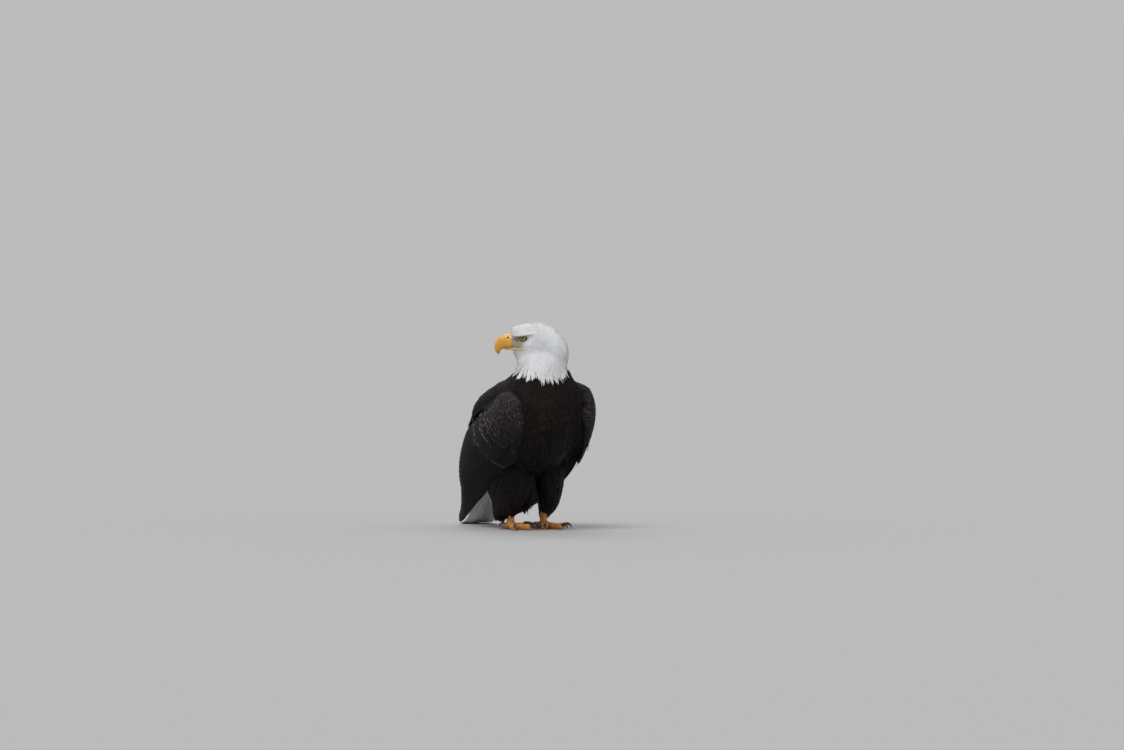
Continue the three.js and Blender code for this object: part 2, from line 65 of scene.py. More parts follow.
EYES = {1: middle_of("eye_left"), -1: middle_of("eye_right")}
EYE_MIDDLE = (EYES[1] + EYES[-1]) / 2
EYE_RADIUS = (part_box("eye_left")[1][2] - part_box("eye_left")[0][2]) / 2
EYES_IN_BIRD = (-38, -57, 509)  # the point between the eyes, in millimetres in the bird frame
ORIGIN = EYE_MIDDLE - np.array(EYES_IN_BIRD) * MM

HEAD_LEFT = (EYES[1] - EYES[-1]) / np.linalg.norm(EYES[1] - EYES[-1])
HEAD_UP = np.array([0.0, 0.0, 1.0])
HEAD_FRONT = np.cross(HEAD_LEFT, HEAD_UP)
HEAD_AXES = np.array([HEAD_FRONT, HEAD_LEFT, HEAD_UP])

SIDES = {"left": 1, "right": -1}


def in_bird(points):
    """Points of the bird frame, in millimetres, as points of the row frame."""
    return np.asarray(points, float) * MM + ORIGIN


def in_head(points):
    """Points of the head frame, in millimetres, as points of the row frame."""
    return np.asarray(points, float) * MM @ HEAD_AXES + EYE_MIDDLE


def of_head(points):
    """The head frame's coordinates, in millimetres, of points of the row frame."""
    return (np.asarray(points) - EYE_MIDDLE) @ HEAD_AXES.T / MM


def of_bird(points):
    """The bird frame's coordinates, in millimetres, of points of the row frame."""
    return (np.asarray(points) - ORIGIN) / MM


# ---------- Curves and numbers ----------


def unit(vectors):
    """Vectors of the same directions, one long."""
    return vectors / np.maximum(np.linalg.norm(vectors, axis=-1, keepdims=True), 1e-12)


def along_normal(vectors, normals):
    """The part of each vector that lies along its normal."""
    return (vectors * normals).sum(axis=1, keepdims=True) * normals


def smoothstep(low, high, x):
    """From 0 at low to 1 at high, smoothly; high may be below low."""
    t = np.clip((x - low) / (high - low), 0, 1)
    return t * t * (3 - 2 * t)


def bell(x, reach):
    """1 at 0, falling smoothly on both sides, to about a third at the reach."""
    return np.exp(-((x / reach) ** 2))


def sizes_at(rows):
    """A smooth function through the rows of a table, whose first column is the place."""
    table = np.array(rows, float)
    at, values = table[:, 0], table[:, 1:]
    gaps = np.diff(at)[:, None]
    slopes = np.diff(values, axis=0) / gaps
    same_way = slopes[:-1] * slopes[1:] > 0
    total = np.where(same_way, slopes[:-1] + slopes[1:], 1)
    inner = np.where(same_way, 2 * slopes[:-1] * slopes[1:] / total, 0)
    ends = np.vstack([slopes[:1], inner, slopes[-1:]])

    def size(t):
        t = np.clip(np.asarray(t, float), at[0], at[-1])
        k = np.clip(np.searchsorted(at, t, side="right") - 1, 0, len(at) - 2)
        gap = gaps[k, 0]
        s = ((t - at[k]) / gap)[..., None]
        gap = gap[..., None]
        return (
            (1 + 2 * s) * (1 - s) ** 2 * values[k]
            + s * (1 - s) ** 2 * gap * ends[k]
            + s * s * (3 - 2 * s) * values[k + 1]
            + s * s * (s - 1) * gap * ends[k + 1]
        )

    return size


def curve(points):
    """A smooth curve through points, with t from 0 to 1 spread evenly over them."""
    points = np.array(points, float)
    points = np.vstack([2 * points[0] - points[1], points, 2 * points[-1] - points[-2]])
    spans = np.sqrt(np.linalg.norm(np.diff(points, axis=0), axis=1))[:, None]

    def at(t):
        place = np.clip(np.asarray(t, float), 0, 1) * (len(points) - 3)
        k = np.clip(place.astype(int), 0, len(points) - 4)
        s = (place - k)[..., None]
        p0, p1, p2, p3 = (points[k + i] for i in range(4))
        d0, d1, d2 = (spans[k + i] for i in range(3))
        start = ((p1 - p0) / d0 - (p2 - p0) / (d0 + d1) + (p2 - p1) / d1) * d1
        end = ((p2 - p1) / d1 - (p3 - p1) / (d1 + d2) + (p3 - p2) / d2) * d1
        return (
            (1 + 2 * s) * (1 - s) ** 2 * p1
            + s * (1 - s) ** 2 * start
            + s * s * (3 - 2 * s) * p2
            + s * s * (s - 1) * end
        )

    return at


def wobble(points, size, seed=0):
    """Smooth noise from about -1 to 1 over space, for blotches about size metres across."""
    turns = np.random.default_rng(seed)
    waves = turns.normal(size=(6, 3)) / size * 2
    shifts = turns.uniform(0, 2 * math.pi, 6)
    return np.sin(np.asarray(points) @ waves.T + shifts).sum(axis=-1) / 2.5


# ---------- Meshes ----------


def new_object(name, vertices, faces, smooth=True):
    """An object from arrays of vertices and of faces, all faces with as many corners."""
    mesh = bpy.data.meshes.new(name)
    vertices = np.asarray(vertices, np.float32).reshape(-1, 3)
    faces = np.asarray(faces, np.int32)
    corners = faces.shape[1]
    mesh.vertices.add(len(vertices))
    mesh.vertices.foreach_set("co", vertices.ravel())
    mesh.loops.add(faces.size)
    mesh.loops.foreach_set("vertex_index", faces.ravel())
    mesh.polygons.add(len(faces))
    mesh.polygons.foreach_set("loop_start", np.arange(0, faces.size, corners, dtype=np.int32))
    mesh.update(calc_edges=True)
    mesh.polygons.foreach_set("use_smooth", np.full(len(faces), smooth))
    mesh.validate()
    thing = bpy.data.objects.new(name, mesh)
    bpy.context.scene.collection.objects.link(thing)
    return thing


def set_colours(thing, colours):
    """Stores a colour for each vertex in the attribute "tint"."""
    colours = np.asarray(colours, np.float32)
    if colours.shape[-1] == 3:
        colours = np.concatenate([colours, np.ones((*colours.shape[:-1], 1), np.float32)], axis=-1)
    layer = thing.data.attributes.new("tint", "FLOAT_COLOR", "POINT")
    layer.data.foreach_set("color", colours.ravel())


def set_uv(thing, name, places):
    """Stores a place for each vertex as a UV map."""
    layer = thing.data.uv_layers.new(name=name)
    corners = np.zeros(len(thing.data.loops), np.int32)
    thing.data.loops.foreach_get("vertex_index", corners)
    layer.data.foreach_set("uv", np.asarray(places, np.float32)[corners].ravel())


def dress(thing, material, slot, *nodes):
    """Gives a piece its material; the slot is not used. It rides on the one body and stands for these
    nodes.
    """
    thing.data.materials.append(material)
    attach(thing, "root")
    if nodes:
        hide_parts(*nodes)


def tube_piece(name, rings, place, tint, material, slot, *nodes):
    """A closed tube as a piece: its rings of points, what puts them in the frame, and their tint."""
    vertices = place(rings.reshape(-1, 3))
    thing = new_object(name, vertices, facing_out(vertices, tube_faces(*rings.shape[:2])))
    set_colours(thing, np.broadcast_to(tint, rings.shape).reshape(-1, 3))
    dress(thing, material, slot, *nodes)


def grid_faces(rows, columns, closed):
    """The quads of a grid of rows of points; closed joins each row's end to its start."""
    r = np.arange(rows - 1)[:, None]
    c = np.arange(columns if closed else columns - 1)[None, :]
    after = (c + 1) % columns
    quads = np.stack(np.broadcast_arrays(r * columns + c, r * columns + after, (r + 1) * columns + after,
                                         (r + 1) * columns + c), axis=-1)
    return quads.reshape(-1, 4)


def tube_faces(rings, sides, first=0):
    """The quads of a closed tube, with each end drawn together by strips across it."""
    quads = [grid_faces(rings, sides, True)]
    k = np.arange(sides // 2 - 1)
    cap = np.stack([k, k + 1, sides - 2 - k, sides - 1 - k], axis=-1)
    quads.append(cap[:, ::-1])
    quads.append(cap + (rings - 1) * sides)
    return np.vstack(quads) + first


def tube(path, across, sizes, rings, sides, section=None):
    """Rings of points round a path, with its places and angles.

    sizes(t) gives the half-widths across the path and at right angles to that, and section(angle, t) the
    shape of a ring, which is round without it."""
    t = np.linspace(0, 1, rings)
    middle = path(t)
    along = unit(np.gradient(middle, axis=0))
    side = np.asarray(across, float)[None]
    side = unit(side - (side * along).sum(axis=1, keepdims=True) * along)
    rise = np.cross(along, side)
    angle = (np.arange(sides) + 0.5) / sides * 2 * math.pi
    c, s = (section or (lambda a, _: (np.cos(a), np.sin(a))))(angle[None, :], t[:, None])
    size = sizes(t)
    c, s = np.broadcast_arrays(c * size[:, None, 0], s * size[:, None, 1])
    return middle[:, None] + side[:, None] * c[..., None] + rise[:, None] * s[..., None], t, angle


def facing_out(vertices, faces):
    """The faces, turned over if the closed mesh that they make is inside out."""
    corners = vertices[faces]
    middle = vertices.mean(axis=0)
    normals = np.cross(corners[:, 1] - corners[:, 0], corners[:, 2] - corners[:, 0])
    outwards = ((corners.mean(axis=1) - middle) * normals).sum()
    return faces if outwards > 0 else faces[:, ::-1]


# ---------- The outer surface and the skin ----------


def node_mesh(names):
    """The vertices and triangles of several CAD nodes, and each triangle's place in the list of names."""
    vertices = []
    triangles = []
    owners = []
    first = 0
    for place, name in enumerate(names):
        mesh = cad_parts[name].data
        mesh.calc_loop_triangles()
        co = np.zeros(len(mesh.vertices) * 3)
        mesh.vertices.foreach_get("co", co)
        tri = np.zeros(len(mesh.loop_triangles) * 3, np.int32)
        mesh.loop_triangles.foreach_get("vertices", tri)
        vertices.append(co.reshape(-1, 3))
        triangles.append(tri.reshape(-1, 3) + first)
        owners.append(np.full(len(tri) // 3, place))
        first += len(co) // 3
    return np.vstack(vertices), np.vstack(triangles), np.concatenate(owners)


def remeshed(vertices, faces, voxel):
    """One closed skin of quads round everything in a mesh."""
    rough = new_object("rough", vertices, faces)
    change = rough.modifiers.new("skin", "REMESH")
    change.mode = "VOXEL"
    change.voxel_size = voxel
    whole = rough.evaluated_get(bpy.context.evaluated_depsgraph_get()).to_mesh()
    co = np.zeros(len(whole.vertices) * 3)
    whole.vertices.foreach_get("co", co)
    quads = np.zeros(len(whole.loops), np.int32)
    whole.loops.foreach_get("vertex_index", quads)
    mesh = rough.data
    bpy.data.objects.remove(rough)
    bpy.data.meshes.remove(mesh)
    return co.reshape(-1, 3), quads.reshape(-1, 4)


class Surface:
    """A smooth mesh of quads that feathers are laid on."""

    def __init__(self, vertices, quads):
        self.vertices = vertices
        self.quads = quads
        self.ends = np.vstack([quads[:, [k, (k + 1) % 4]] for k in range(4)])
        self.refresh()

    def refresh(self):
        corners = self.vertices[self.quads]
        cross = np.cross(corners[:, 2] - corners[:, 0], corners[:, 3] - corners[:, 1])
        self.areas = np.linalg.norm(cross, axis=1) / 2
        self.normals = np.zeros_like(self.vertices)
        for corner in range(4):
            for axis in range(3):
                self.normals[:, axis] += self.summed(self.quads[:, corner], cross[:, axis])
        self.normals = unit(self.normals)
        self.tree = BVHTree.FromPolygons(self.vertices.tolist(), self.quads.tolist())

    def summed(self, places, values=None):
        """The sum, at each vertex, of the values that are given for it."""
        return np.bincount(places, values, minlength=len(self.vertices))

    def around(self, values):
        """The sum, at each vertex, of the vectors at the vertices that it shares an edge with."""
        start, end = self.ends.T
        return np.stack([self.summed(start, values[end, axis]) for axis in range(3)], axis=-1)

    def smooth(self, rounds, amount=0.6, back=0.9, share=1.0):
        """Evens the surface out. With back at 0 hollows fill up too; share, from 0 to 1, is how much of
        this each vertex gets."""
        count = self.summed(self.ends[:, 0])[:, None]
        for k in range(rounds):
            middle = self.around(self.vertices) / count
            push = amount if k % 2 == 0 else -amount * back
            self.vertices = self.vertices + np.reshape(push * share, (-1, 1)) * (middle - self.vertices)
        self.refresh()

    def middles(self):
        """The middle of each quad."""
        return self.vertices[self.quads].mean(axis=1)

    def set_lie(self, lie, rounds=40):
        """Keeps the way that feathers point at each vertex, evened out so that it has no whorls."""
        ways = lie(self.vertices)
        for _ in range(rounds):
            ways = self.around(unit(ways - along_normal(ways, self.normals)))
        self.ways = unit(ways)

    def nearest(self, points):
        """The nearest places on the surface, with its smooth normals and the lie of its feathers there."""
        found = [self.tree.find_nearest(Vector(point)) for point in points]
        places = np.array([place for place, *_ in found])
        corners = self.quads[[face for _, _, face, _ in found]]
        weight = 1 / (np.linalg.norm(self.vertices[corners] - places[:, None], axis=-1) + 1e-5)
        normals = unit((self.normals[corners] * weight[..., None]).sum(axis=1))
        return places, normals, unit((self.ways[corners] * weight[..., None]).sum(axis=1))

    def scatter(self, allowed, spacing, tries=14):
        """Places at least spacing(place) apart on the allowed quads."""
        chosen = np.flatnonzero(allowed)
        areas = self.areas[chosen]
        centres = self.vertices[self.quads[chosen]].mean(axis=1)
        room = spacing(centres)
        wanted = areas / room**2
        count = int(wanted.sum() * tries)
        picks = rng.choice(chosen, count, p=wanted / wanted.sum())
        a, b = rng.random((2, count, 1))
        corners = self.vertices[self.quads[picks]]
        points = (1 - a) * (1 - b) * corners[:, 0] + a * (1 - b) * corners[:, 1]
        points = points + a * b * corners[:, 2] + (1 - a) * b * corners[:, 3]
        gaps = spacing(points)
        cell = gaps.max()
        cells = np.floor(points / cell).astype(int)
        kept = []
        taken = {}
        steps = [(i, j, k) for i in (-1, 0, 1) for j in (-1, 0, 1) for k in (-1, 0, 1)]
        places = zip(cells.tolist(), points.tolist(), gaps.tolist())
        for index, ((i, j, k), (x, y, z), gap) in enumerate(places):
            if not any(
                (x - q[0]) ** 2 + (y - q[1]) ** 2 + (z - q[2]) ** 2 < gap * gap
                for di, dj, dk in steps
                for q in taken.get((i + di, j + dj, k + dk), ())
            ):
                kept.append(index)
                taken.setdefault((i, j, k), []).append((x, y, z))
        return points[kept]


BODY = ["head", "neck", "trunk", "tail_coverts", "thigh_left", "thigh_right"]
ARMS = ["wing_left_arm", "wing_right_arm"]
FLIGHT = [f"wing_{side}_{part}" for side in SIDES for part in ("secondaries", "primaries")]
EVERYTHING = BODY + ARMS + ["tail"] + FLIGHT

# Under the brow the eye lies deep; the ridge runs from the lore to behind the eye, in the head frame.
BROW = sizes_at([[-46, 10.5], [-20, 10], [3, 9.2], [18, 7.6], [30, 5.5]])


def face_relief(vertices):
    """Pushes the brow ridge out and the face below it in, on both sides of the head."""
    x, y, z = of_head(vertices).T
    brow = BROW(x)[:, 0]
    on_side = smoothstep(6, 18, np.abs(y)) * np.sign(y)
    ridge = 2.2 * bell(z - brow, 4.5) * smoothstep(-46, -14, x) * smoothstep(33, 24, x)
    hollow = -1.5 * bell(x + 1, 12) * bell(z + 0.5, 7) - 2.4 * bell(x - 22, 9) * bell(z + 4, 7)
    cheek = 1.2 * bell(x + 6, 22) * bell(z + 32, 6)
    push = (ridge + hollow + cheek) * on_side * (np.abs(z) < 60)
    nape = -4.5 * bell(z + 92, 26) * smoothstep(-75, -105, x)
    forehead = 7 * bell(x - 26, 12) * bell(z - 21, 12) + 2.5 * bell(x - 13, 12) * bell(z - 34, 10)
    rise = (forehead * bell(y, 20))[:, None] * (0.8 * HEAD_UP + 0.5 * HEAD_FRONT)
    return vertices + (push[:, None] * HEAD_LEFT - nape[:, None] * HEAD_FRONT + rise) * MM


def nearest_nodes(points, names):
    """Which of several CAD nodes each point lies nearest to, and how far from it."""
    vertices, triangles, owner = node_mesh(names)
    tree = BVHTree.FromPolygons(vertices.tolist(), triangles.tolist())
    found = [tree.find_nearest(Vector(point)) for point in points]
    return owner[[face for _, _, face, _ in found]], np.array([gap for *_, gap in found])


def wrapped(names, voxel):
    """One surface round several CAD nodes."""
    vertices, triangles, _ = node_mesh(names)
    return Surface(*remeshed(vertices, triangles, voxel))


def closed_over(surface, gap, voxel):
    """A surface that bridges the hollows narrower than a gap."""
    grown = surface.vertices + surface.normals * gap / 2
    cover = Surface(*remeshed(grown, surface.quads, voxel))
    cover.smooth(8)
    cover.vertices = cover.vertices - cover.normals * gap / 2
    cover.smooth(8)
    return cover


# What the long feathers of the throat and the nape bridge: the hollow between the head and the shoulders.
THROAT_GAP = 64 * MM
THROAT_FILL = 13 * MM  # about the most that the hollow is filled by
bridge = closed_over(wrapped(["head", "neck", "trunk"], 4 * MM), THROAT_GAP, 4.5 * MM)


def fill_neck(surface):
    """Moves a surface out to the bridge round the neck, and not on the face."""
    x, _, z = of_head(surface.vertices).T
    share = smoothstep(-26, -68, z) * smoothstep(-160, -125, z)
    share = share * (1 - 0.8 * smoothstep(-85, -105, x)) * (1 - 0.7 * smoothstep(5, 30, x))
    out = np.zeros(len(surface.vertices))
    for k in np.flatnonzero(share > 0):
        hit = bridge.tree.ray_cast(Vector(surface.vertices[k]), Vector(surface.normals[k]), 3 * THROAT_FILL)
        out[k] = hit[3] if hit[0] is not None else 0
    out = THROAT_FILL * np.tanh(out / THROAT_FILL)
    surface.vertices = surface.vertices + (out * share)[:, None] * surface.normals
    surface.smooth(90, 0.6, 0, share**0.5)


def plumage(names, voxel):
    """The coat's outer surface over several CAD nodes."""
    surface = wrapped(names, voxel)
    surface.smooth(12)
    fill_neck(surface)
    surface.vertices = face_relief(surface.vertices)
    surface.refresh()
    return surface


OUTER_VOXEL = 2.4 * MM
SKIN_VOXEL = 2.5 * MM
outer = plumage(BODY, OUTER_VOXEL)
outer_owner, _ = nearest_nodes(outer.middles(), BODY)
outer_bird = of_bird(outer.vertices[outer.quads[:, 0]])
outer_normals = outer.normals[outer.quads[:, 0]]

# The surface that bridges the gaps between the body and the folded wings.
CAPE_GAP = 34 * MM
cape = closed_over(wrapped(EVERYTHING, 3.5 * MM), CAPE_GAP, 4 * MM)
cape_owner, cape_gap = nearest_nodes(cape.middles(), EVERYTHING)


SHOULDER_RISE = 10 * MM
SHOULDER_FILL = 12 * MM


def shape_shoulders(surface):
    """Slopes the left shoulder up to the neck, over the loosely held wing, and fills out the right one."""
    place = of_bird(surface.vertices)
    slope = bell(np.hypot(place[:, 0] - 112, place[:, 1] + 72), 30) * smoothstep(330, 370, place[:, 2])
    full = bell((place - (-108, 40, 300)) / (45, 70, 60), 1).prod(axis=1)
    surface.vertices = surface.vertices + slope[:, None] * np.array([0, 0, SHOULDER_RISE])
    surface.vertices = surface.vertices + SHOULDER_FILL * full[:, None] * surface.normals
    surface.refresh()


shape_shoulders(cape)


def on_nodes(*names):
    """Which quads of the outer surface belong to these CAD nodes."""
    return np.isin(outer_owner, [BODY.index(name) for name in names])


# ---------- The lie of the feathers ----------

# The line through the middle of the body, from the tail's root to inside the head, in the bird frame.
SPINE = curve(
    [(0, 204, 116), (0, 154, 178), (0, 92, 236), (0, 25, 284), (0, -35, 322), (0, -72, 358), (0, -87, 402),
     (4, -87, 446), (12, -81, 488)]
)
SPINE_POINTS = 90
spine_points = in_bird(SPINE(np.linspace(0, 1, SPINE_POINTS)))
spine_ways = -unit(np.gradient(spine_points, axis=0))


def near_spine(points):
    """For each point the share of the way along the spine, and the direction towards the tail there."""
    gaps = np.linalg.norm(points[:, None] - spine_points[None], axis=-1)
    k = gaps.argmin(axis=1)
    return k / (SPINE_POINTS - 1), spine_ways[k]


def body_lie(points):
    """The way that feathers point on the body and head: from the bill to the tail."""
    _, way = near_spine(points)
    x, _, z = of_head(points).T
    turn_down = np.maximum(smoothstep(35, 100, -x), smoothstep(10, 62, -z))[:, None]
    on_head = (1 - turn_down) * np.array([-1, 0, -0.12]) + turn_down * np.array([-0.22, 0, -1])
    share = smoothstep(-125, -80, z)[:, None]
    return unit((1 - share) * way + share * unit(on_head @ HEAD_AXES))


THIGH_TOP = 150  # millimetres above the floor


def thigh_lie(points):
    """The way that feathers point on the thighs: down and a little back."""
    return np.broadcast_to(unit(np.array([0, 0.22, -1.0])), points.shape)


def outer_lie(points):
    """The way that feathers point on the outer surface: down the thighs, and elsewhere as on the body."""
    x, _, z = of_bird(points).T
    on_thigh = (np.abs(x) > 22) & (z < THIGH_TOP)
    return np.where(on_thigh[:, None], thigh_lie(points), body_lie(points))


outer.set_lie(outer_lie)
cape.set_lie(body_lie)


def laid(surface, roots, length, rows, turn=8.0, depth=3 * MM, lift=1 * MM, stiff=0.0, swing=0.0):
    """The shafts of feathers that lie along a surface: points and normals, row by row.

    Each starts depth below the surface and ends lift above it. Swing turns it, in degrees, turn is a random
    part of that, and a stiff feather, up to 1, goes straight on where the surface curves away."""
    count = len(roots)
    length = np.broadcast_to(length, count)
    stiff = np.broadcast_to(stiff, count)[:, None]
    place, normal, way = surface.nearest(roots)
    swing = np.radians(swing + rng.normal(0, turn, count))[:, None]
    straight = None
    shafts = []
    normals = []
    for k in range(rows):
        t = k / (rows - 1)
        height = lift * t**1.5 - depth * (1 - t) ** 1.6
        shafts.append(place + normal * np.reshape(height, (-1, 1)))
        normals.append(normal)
        way = unit(way - along_normal(way, normal))
        way = way * np.cos(swing) + np.cross(normal, way) * np.sin(swing)
        if straight is not None:
            way = unit(way * (1 - stiff) + straight * stiff)
        straight = way
        ahead = place + way * (length / (rows - 1))[:, None]
        snapped, turned, next_way = surface.nearest(ahead)
        place = snapped * (1 - stiff) + ahead * stiff
        normal = unit(turned * (1 - stiff) + normal * stiff)
        way = next_way
    return np.stack(shafts, axis=1), np.stack(normals, axis=1)


def lying_flat(shafts, normals, length, least=0.93):
    """Which shafts run nearly straight, and not round an edge of the surface."""
    straight = np.linalg.norm(shafts[:, -1] - shafts[:, 0], axis=1) > least * length
    return straight & ((normals[:, -1] * normals[:, 0]).sum(axis=1) > 0.45)


# ---------- Feathers ----------

# Half-widths along a feather from root to tip, as shares of the widest.
OUTLINES = {
    "hackle": sizes_at([[0, 0.35], [0.2, 0.8], [0.4, 1], [0.65, 0.8], [0.85, 0.45], [1, 0.1]]),
    "lance": sizes_at([[0, 0.3], [0.2, 0.75], [0.45, 1], [0.7, 0.9], [0.88, 0.62], [1, 0.2]]),
    "down": sizes_at([[0, 0.5], [0.3, 0.9], [0.6, 1], [0.85, 0.6], [1, 0.1]]),
    "covert": sizes_at([[0, 0.4], [0.2, 0.85], [0.5, 1], [0.8, 0.98], [0.93, 0.7], [1, 0.2]]),
    "flight": sizes_at(
        [[0, 0.35], [0.12, 0.7], [0.4, 0.95], [0.7, 1], [0.88, 0.86], [0.96, 0.55], [1, 0.12]]
    ),
    "tail": sizes_at([[0, 0.45], [0.3, 0.8], [0.7, 1], [0.9, 0.95], [0.97, 0.7], [1, 0.25]]),
}
SWEEP = 0.55  # how far a vane's barbs lean towards the tip
NUMBERS = 61  # feathers are numbered up to this for their pattern
FLOOR_ROOM = 0.3 * MM  # how far above the floor the lowest feathers stay
QUILL_HALF = 0.07  # half the shaft's width, as a share of the vane's


class Coat:
    """Feathers gathered into one piece."""

    made = 0  # how many feathers all coats have so far

    def __init__(self):
        self.vertices = []
        self.faces = []
        self.vane = []
        self.bake = []
        self.tints = []
        self.first = 0

    def add(self, shafts, normals, width, outline, tint, bake, columns=5, camber=0.3, fray=0.12, edge=0.0,
            roll=0.0, lean=0.0, quill=0.0, ragged=0.0):
        """Adds feathers along shafts of points.

        Width is each one's widest half-width, tint its colour, bake the place of its root on the unwrap,
        and edge how pale its margin is. Camber is how far its sides curve down, and fray how uneven they
        are. Roll lifts one side of the vane, in degrees, and lean makes that side narrower. Quill is how
        far the shaft stands up, and ragged how unevenly the barbs end, as a share of the length."""
        count, rows = shafts.shape[:2]
        width = np.broadcast_to(width, count).astype(float)
        tint = np.broadcast_to(tint, (count, 3))
        edge = np.broadcast_to(edge, count)
        along = unit(np.gradient(shafts, axis=1))
        across = unit(np.cross(normals, along))
        up = np.cross(along, across)
        x = np.linspace(-1, 1, columns)
        if quill:
            x = np.sort(np.append(x, [-QUILL_HALF, QUILL_HALF]))
            columns += 2
        y = np.linspace(0, 1, rows)
        half = width[:, None] * OUTLINES[outline](y)[None, :, 0]
        loose = 1 - fray * rng.random((count, rows, columns)) * np.abs(x) ** 3 * (y > 0.2)[:, None]
        offset = half[..., None] * x * (1 + lean * np.sign(x)) * loose
        ahead = SWEEP * np.abs(offset) * np.sin(np.pi * np.minimum(y + 0.15, 1))[None, :, None]
        long = np.linalg.norm(shafts[:, -1] - shafts[:, 0], axis=1)[:, None, None]
        ends = ragged * long * rng.uniform(-1, 0.6, (count, 1, columns)) * (np.abs(x) > 0.1)
        ahead = ahead + ends * smoothstep(0.55, 1, y)[None, :, None]
        drop = camber * offset**2 / width[:, None, None]
        tilt = math.radians(roll)
        rise = quill * (np.abs(x) < 0.02) * (1 - 0.8 * y[:, None]) - math.sin(tilt) * offset - drop
        vertices = (
            shafts[:, :, None]
            + across[:, :, None] * offset[..., None] * math.cos(tilt)
            + along[:, :, None] * ahead[..., None]
            + up[:, :, None] * rise[..., None]
        )
        quads = grid_faces(rows, columns, False)[:, ::-1]
        starts = np.arange(count)[:, None, None] * rows * columns + self.first
        self.first += count * rows * columns
        self.vertices.append(vertices.reshape(-1, 3))
        self.faces.append((quads[None] + starts).reshape(-1, 4))
        number = (np.arange(count) + Coat.made) % NUMBERS
        Coat.made += count
        shape = (count, rows, columns)
        u = np.broadcast_to((x + 1) / 2 * 0.98 + 0.01, shape)
        v = np.broadcast_to(y[:, None] * 0.98 + 0.01, shape) + number[:, None, None]
        self.vane.append(np.stack([u, v], axis=-1).reshape(-1, 2))
        patch = np.stack([np.broadcast_to(x / 2, shape), np.broadcast_to(y[:, None] - 0.5, shape)], axis=-1)
        self.bake.append((bake[:, None, None] + patch * BAKE_PATCH).reshape(-1, 2))
        colour = np.concatenate([tint, edge[:, None]], axis=1)
        self.tints.append(np.broadcast_to(colour[:, None, None], (*shape, 4)).reshape(-1, 4))

    def piece(self, name, material, slot, *nodes):
        """Makes the feathers one object with its maps and colours."""
        vertices = np.vstack(self.vertices)
        vertices[:, 2] = np.maximum(vertices[:, 2], FLOOR_ROOM)
        thing = new_object(name, vertices, np.vstack(self.faces))
        set_uv(thing, "OFBake", np.vstack(self.bake))
        set_uv(thing, "vane", np.vstack(self.vane))
        set_colours(thing, np.vstack(self.tints))
        dress(thing, material, slot, *nodes)


# ---------- The unwrap that the feathers' patches lie on ----------

BAKE_PATCH = 0.003
# Each chart's low corner and size. The body's goes round its middle line and along it; a wing's goes
# from wrist to tip and from edge to edge.
CHARTS = {
    "body": ((0.01, 0.01), (0.58, 0.98)),
    "wing_left": ((0.61, 0.01), (0.38, 0.31)),
    "wing_right": ((0.61, 0.34), (0.38, 0.31)),
    "thigh_left": ((0.61, 0.67), (0.18, 0.2)),
    "thigh_right": ((0.81, 0.67), (0.18, 0.2)),
    "tail": ((0.61, 0.89), (0.38, 0.1)),
}


def on_chart(chart, across, along):
    """Places on a chart from shares of it, 0 to 1 both ways."""
    low, size = CHARTS[chart]
    shares = np.stack([np.clip(across, 0, 1), np.clip(along, 0, 1)], axis=-1)
    return np.array(low) + shares * np.array(size)


def share_of_turn(sine, cosine):
    """An angle as a share of a whole turn, from 0 to 1."""
    return np.arctan2(sine, cosine) / (2 * math.pi) + 0.5


def body_bake(points):
    """The body's chart: round its middle line, and along it from the tail to the bill."""
    t, way = near_spine(points)
    x, y, z = of_head(points).T
    centre = spine_points[np.round(t * (SPINE_POINTS - 1)).astype(int)]
    out = points - centre
    round_body = share_of_turn(out[:, 0], (out * np.cross(way, [1, 0, 0])).sum(axis=1))
    round_head = share_of_turn(y, z + 20)
    along_head = 0.55 + 0.45 * (np.clip((x + 120) / 160, 0, 1) * 0.7 + (z + 85) / 130 * 0.3)
    on_head = z > -85
    along = np.where(on_head, along_head, 0.54 * t)
    return on_chart("body", np.where(on_head, round_head, round_body), along)


def thigh_bake(points, side):
    """A thigh's chart: round its middle line, and along it from the floor up."""
    x, y, z = of_bird(points).T
    chart = "thigh_left" if side > 0 else "thigh_right"
    return on_chart(chart, share_of_turn(y + 10, x - side * 58), z / 260)


# ---------- Materials ----------


def material(name, roughness, **settings):
    """A material with its plain settings, its node tree and its shader."""
    made = bpy.data.materials.new(name)
    made.use_nodes = True
    shader = made.node_tree.nodes["Principled BSDF"]
    shader.inputs["Roughness"].default_value = roughness
    for key, value in settings.items():
        shader.inputs[key.replace("_", " ")].default_value = value
    return made, made.node_tree, shader


def node(tree, kind, inputs=(), **settings):
    """A node, with its settings and with values or other nodes' outputs on its inputs."""
    made = tree.nodes.new("ShaderNode" + kind)
    for key, value in settings.items():
        setattr(made, key, value)
    for key, value in dict(inputs).items():
        if isinstance(value, bpy.types.NodeSocket):
            tree.links.new(value, made.inputs[key])
        else:
            made.inputs[key].default_value = value
    return made


def maths(tree, operation, *values):
    """The result of a sum on values or other nodes' outputs."""
    return node(tree, "Math", enumerate(values), operation=operation).outputs[0]


def tint_of(tree):
    """The colour that each vertex carries, with the paleness of its margin as its alpha."""
    return node(tree, "Attribute", attribute_name="tint", attribute_type="GEOMETRY")


def mixed(tree, share, a, b):
    """Two colours mixed by a share."""
    return node(tree, "Mix", {0: share, 6: a, 7: b}, data_type="RGBA").outputs[2]


def times(tree, value, factor):
    return maths(tree, "MULTIPLY", value, factor)


def ranged(tree, value, low, high, start=0.0, end=1.0, **settings):
    """A value from low to high turned into one from start to end."""
    limits = {"Value": value, "From Min": low, "From Max": high, "To Min": start, "To Max": end}
    return node(tree, "MapRange", limits, **settings).outputs[0]


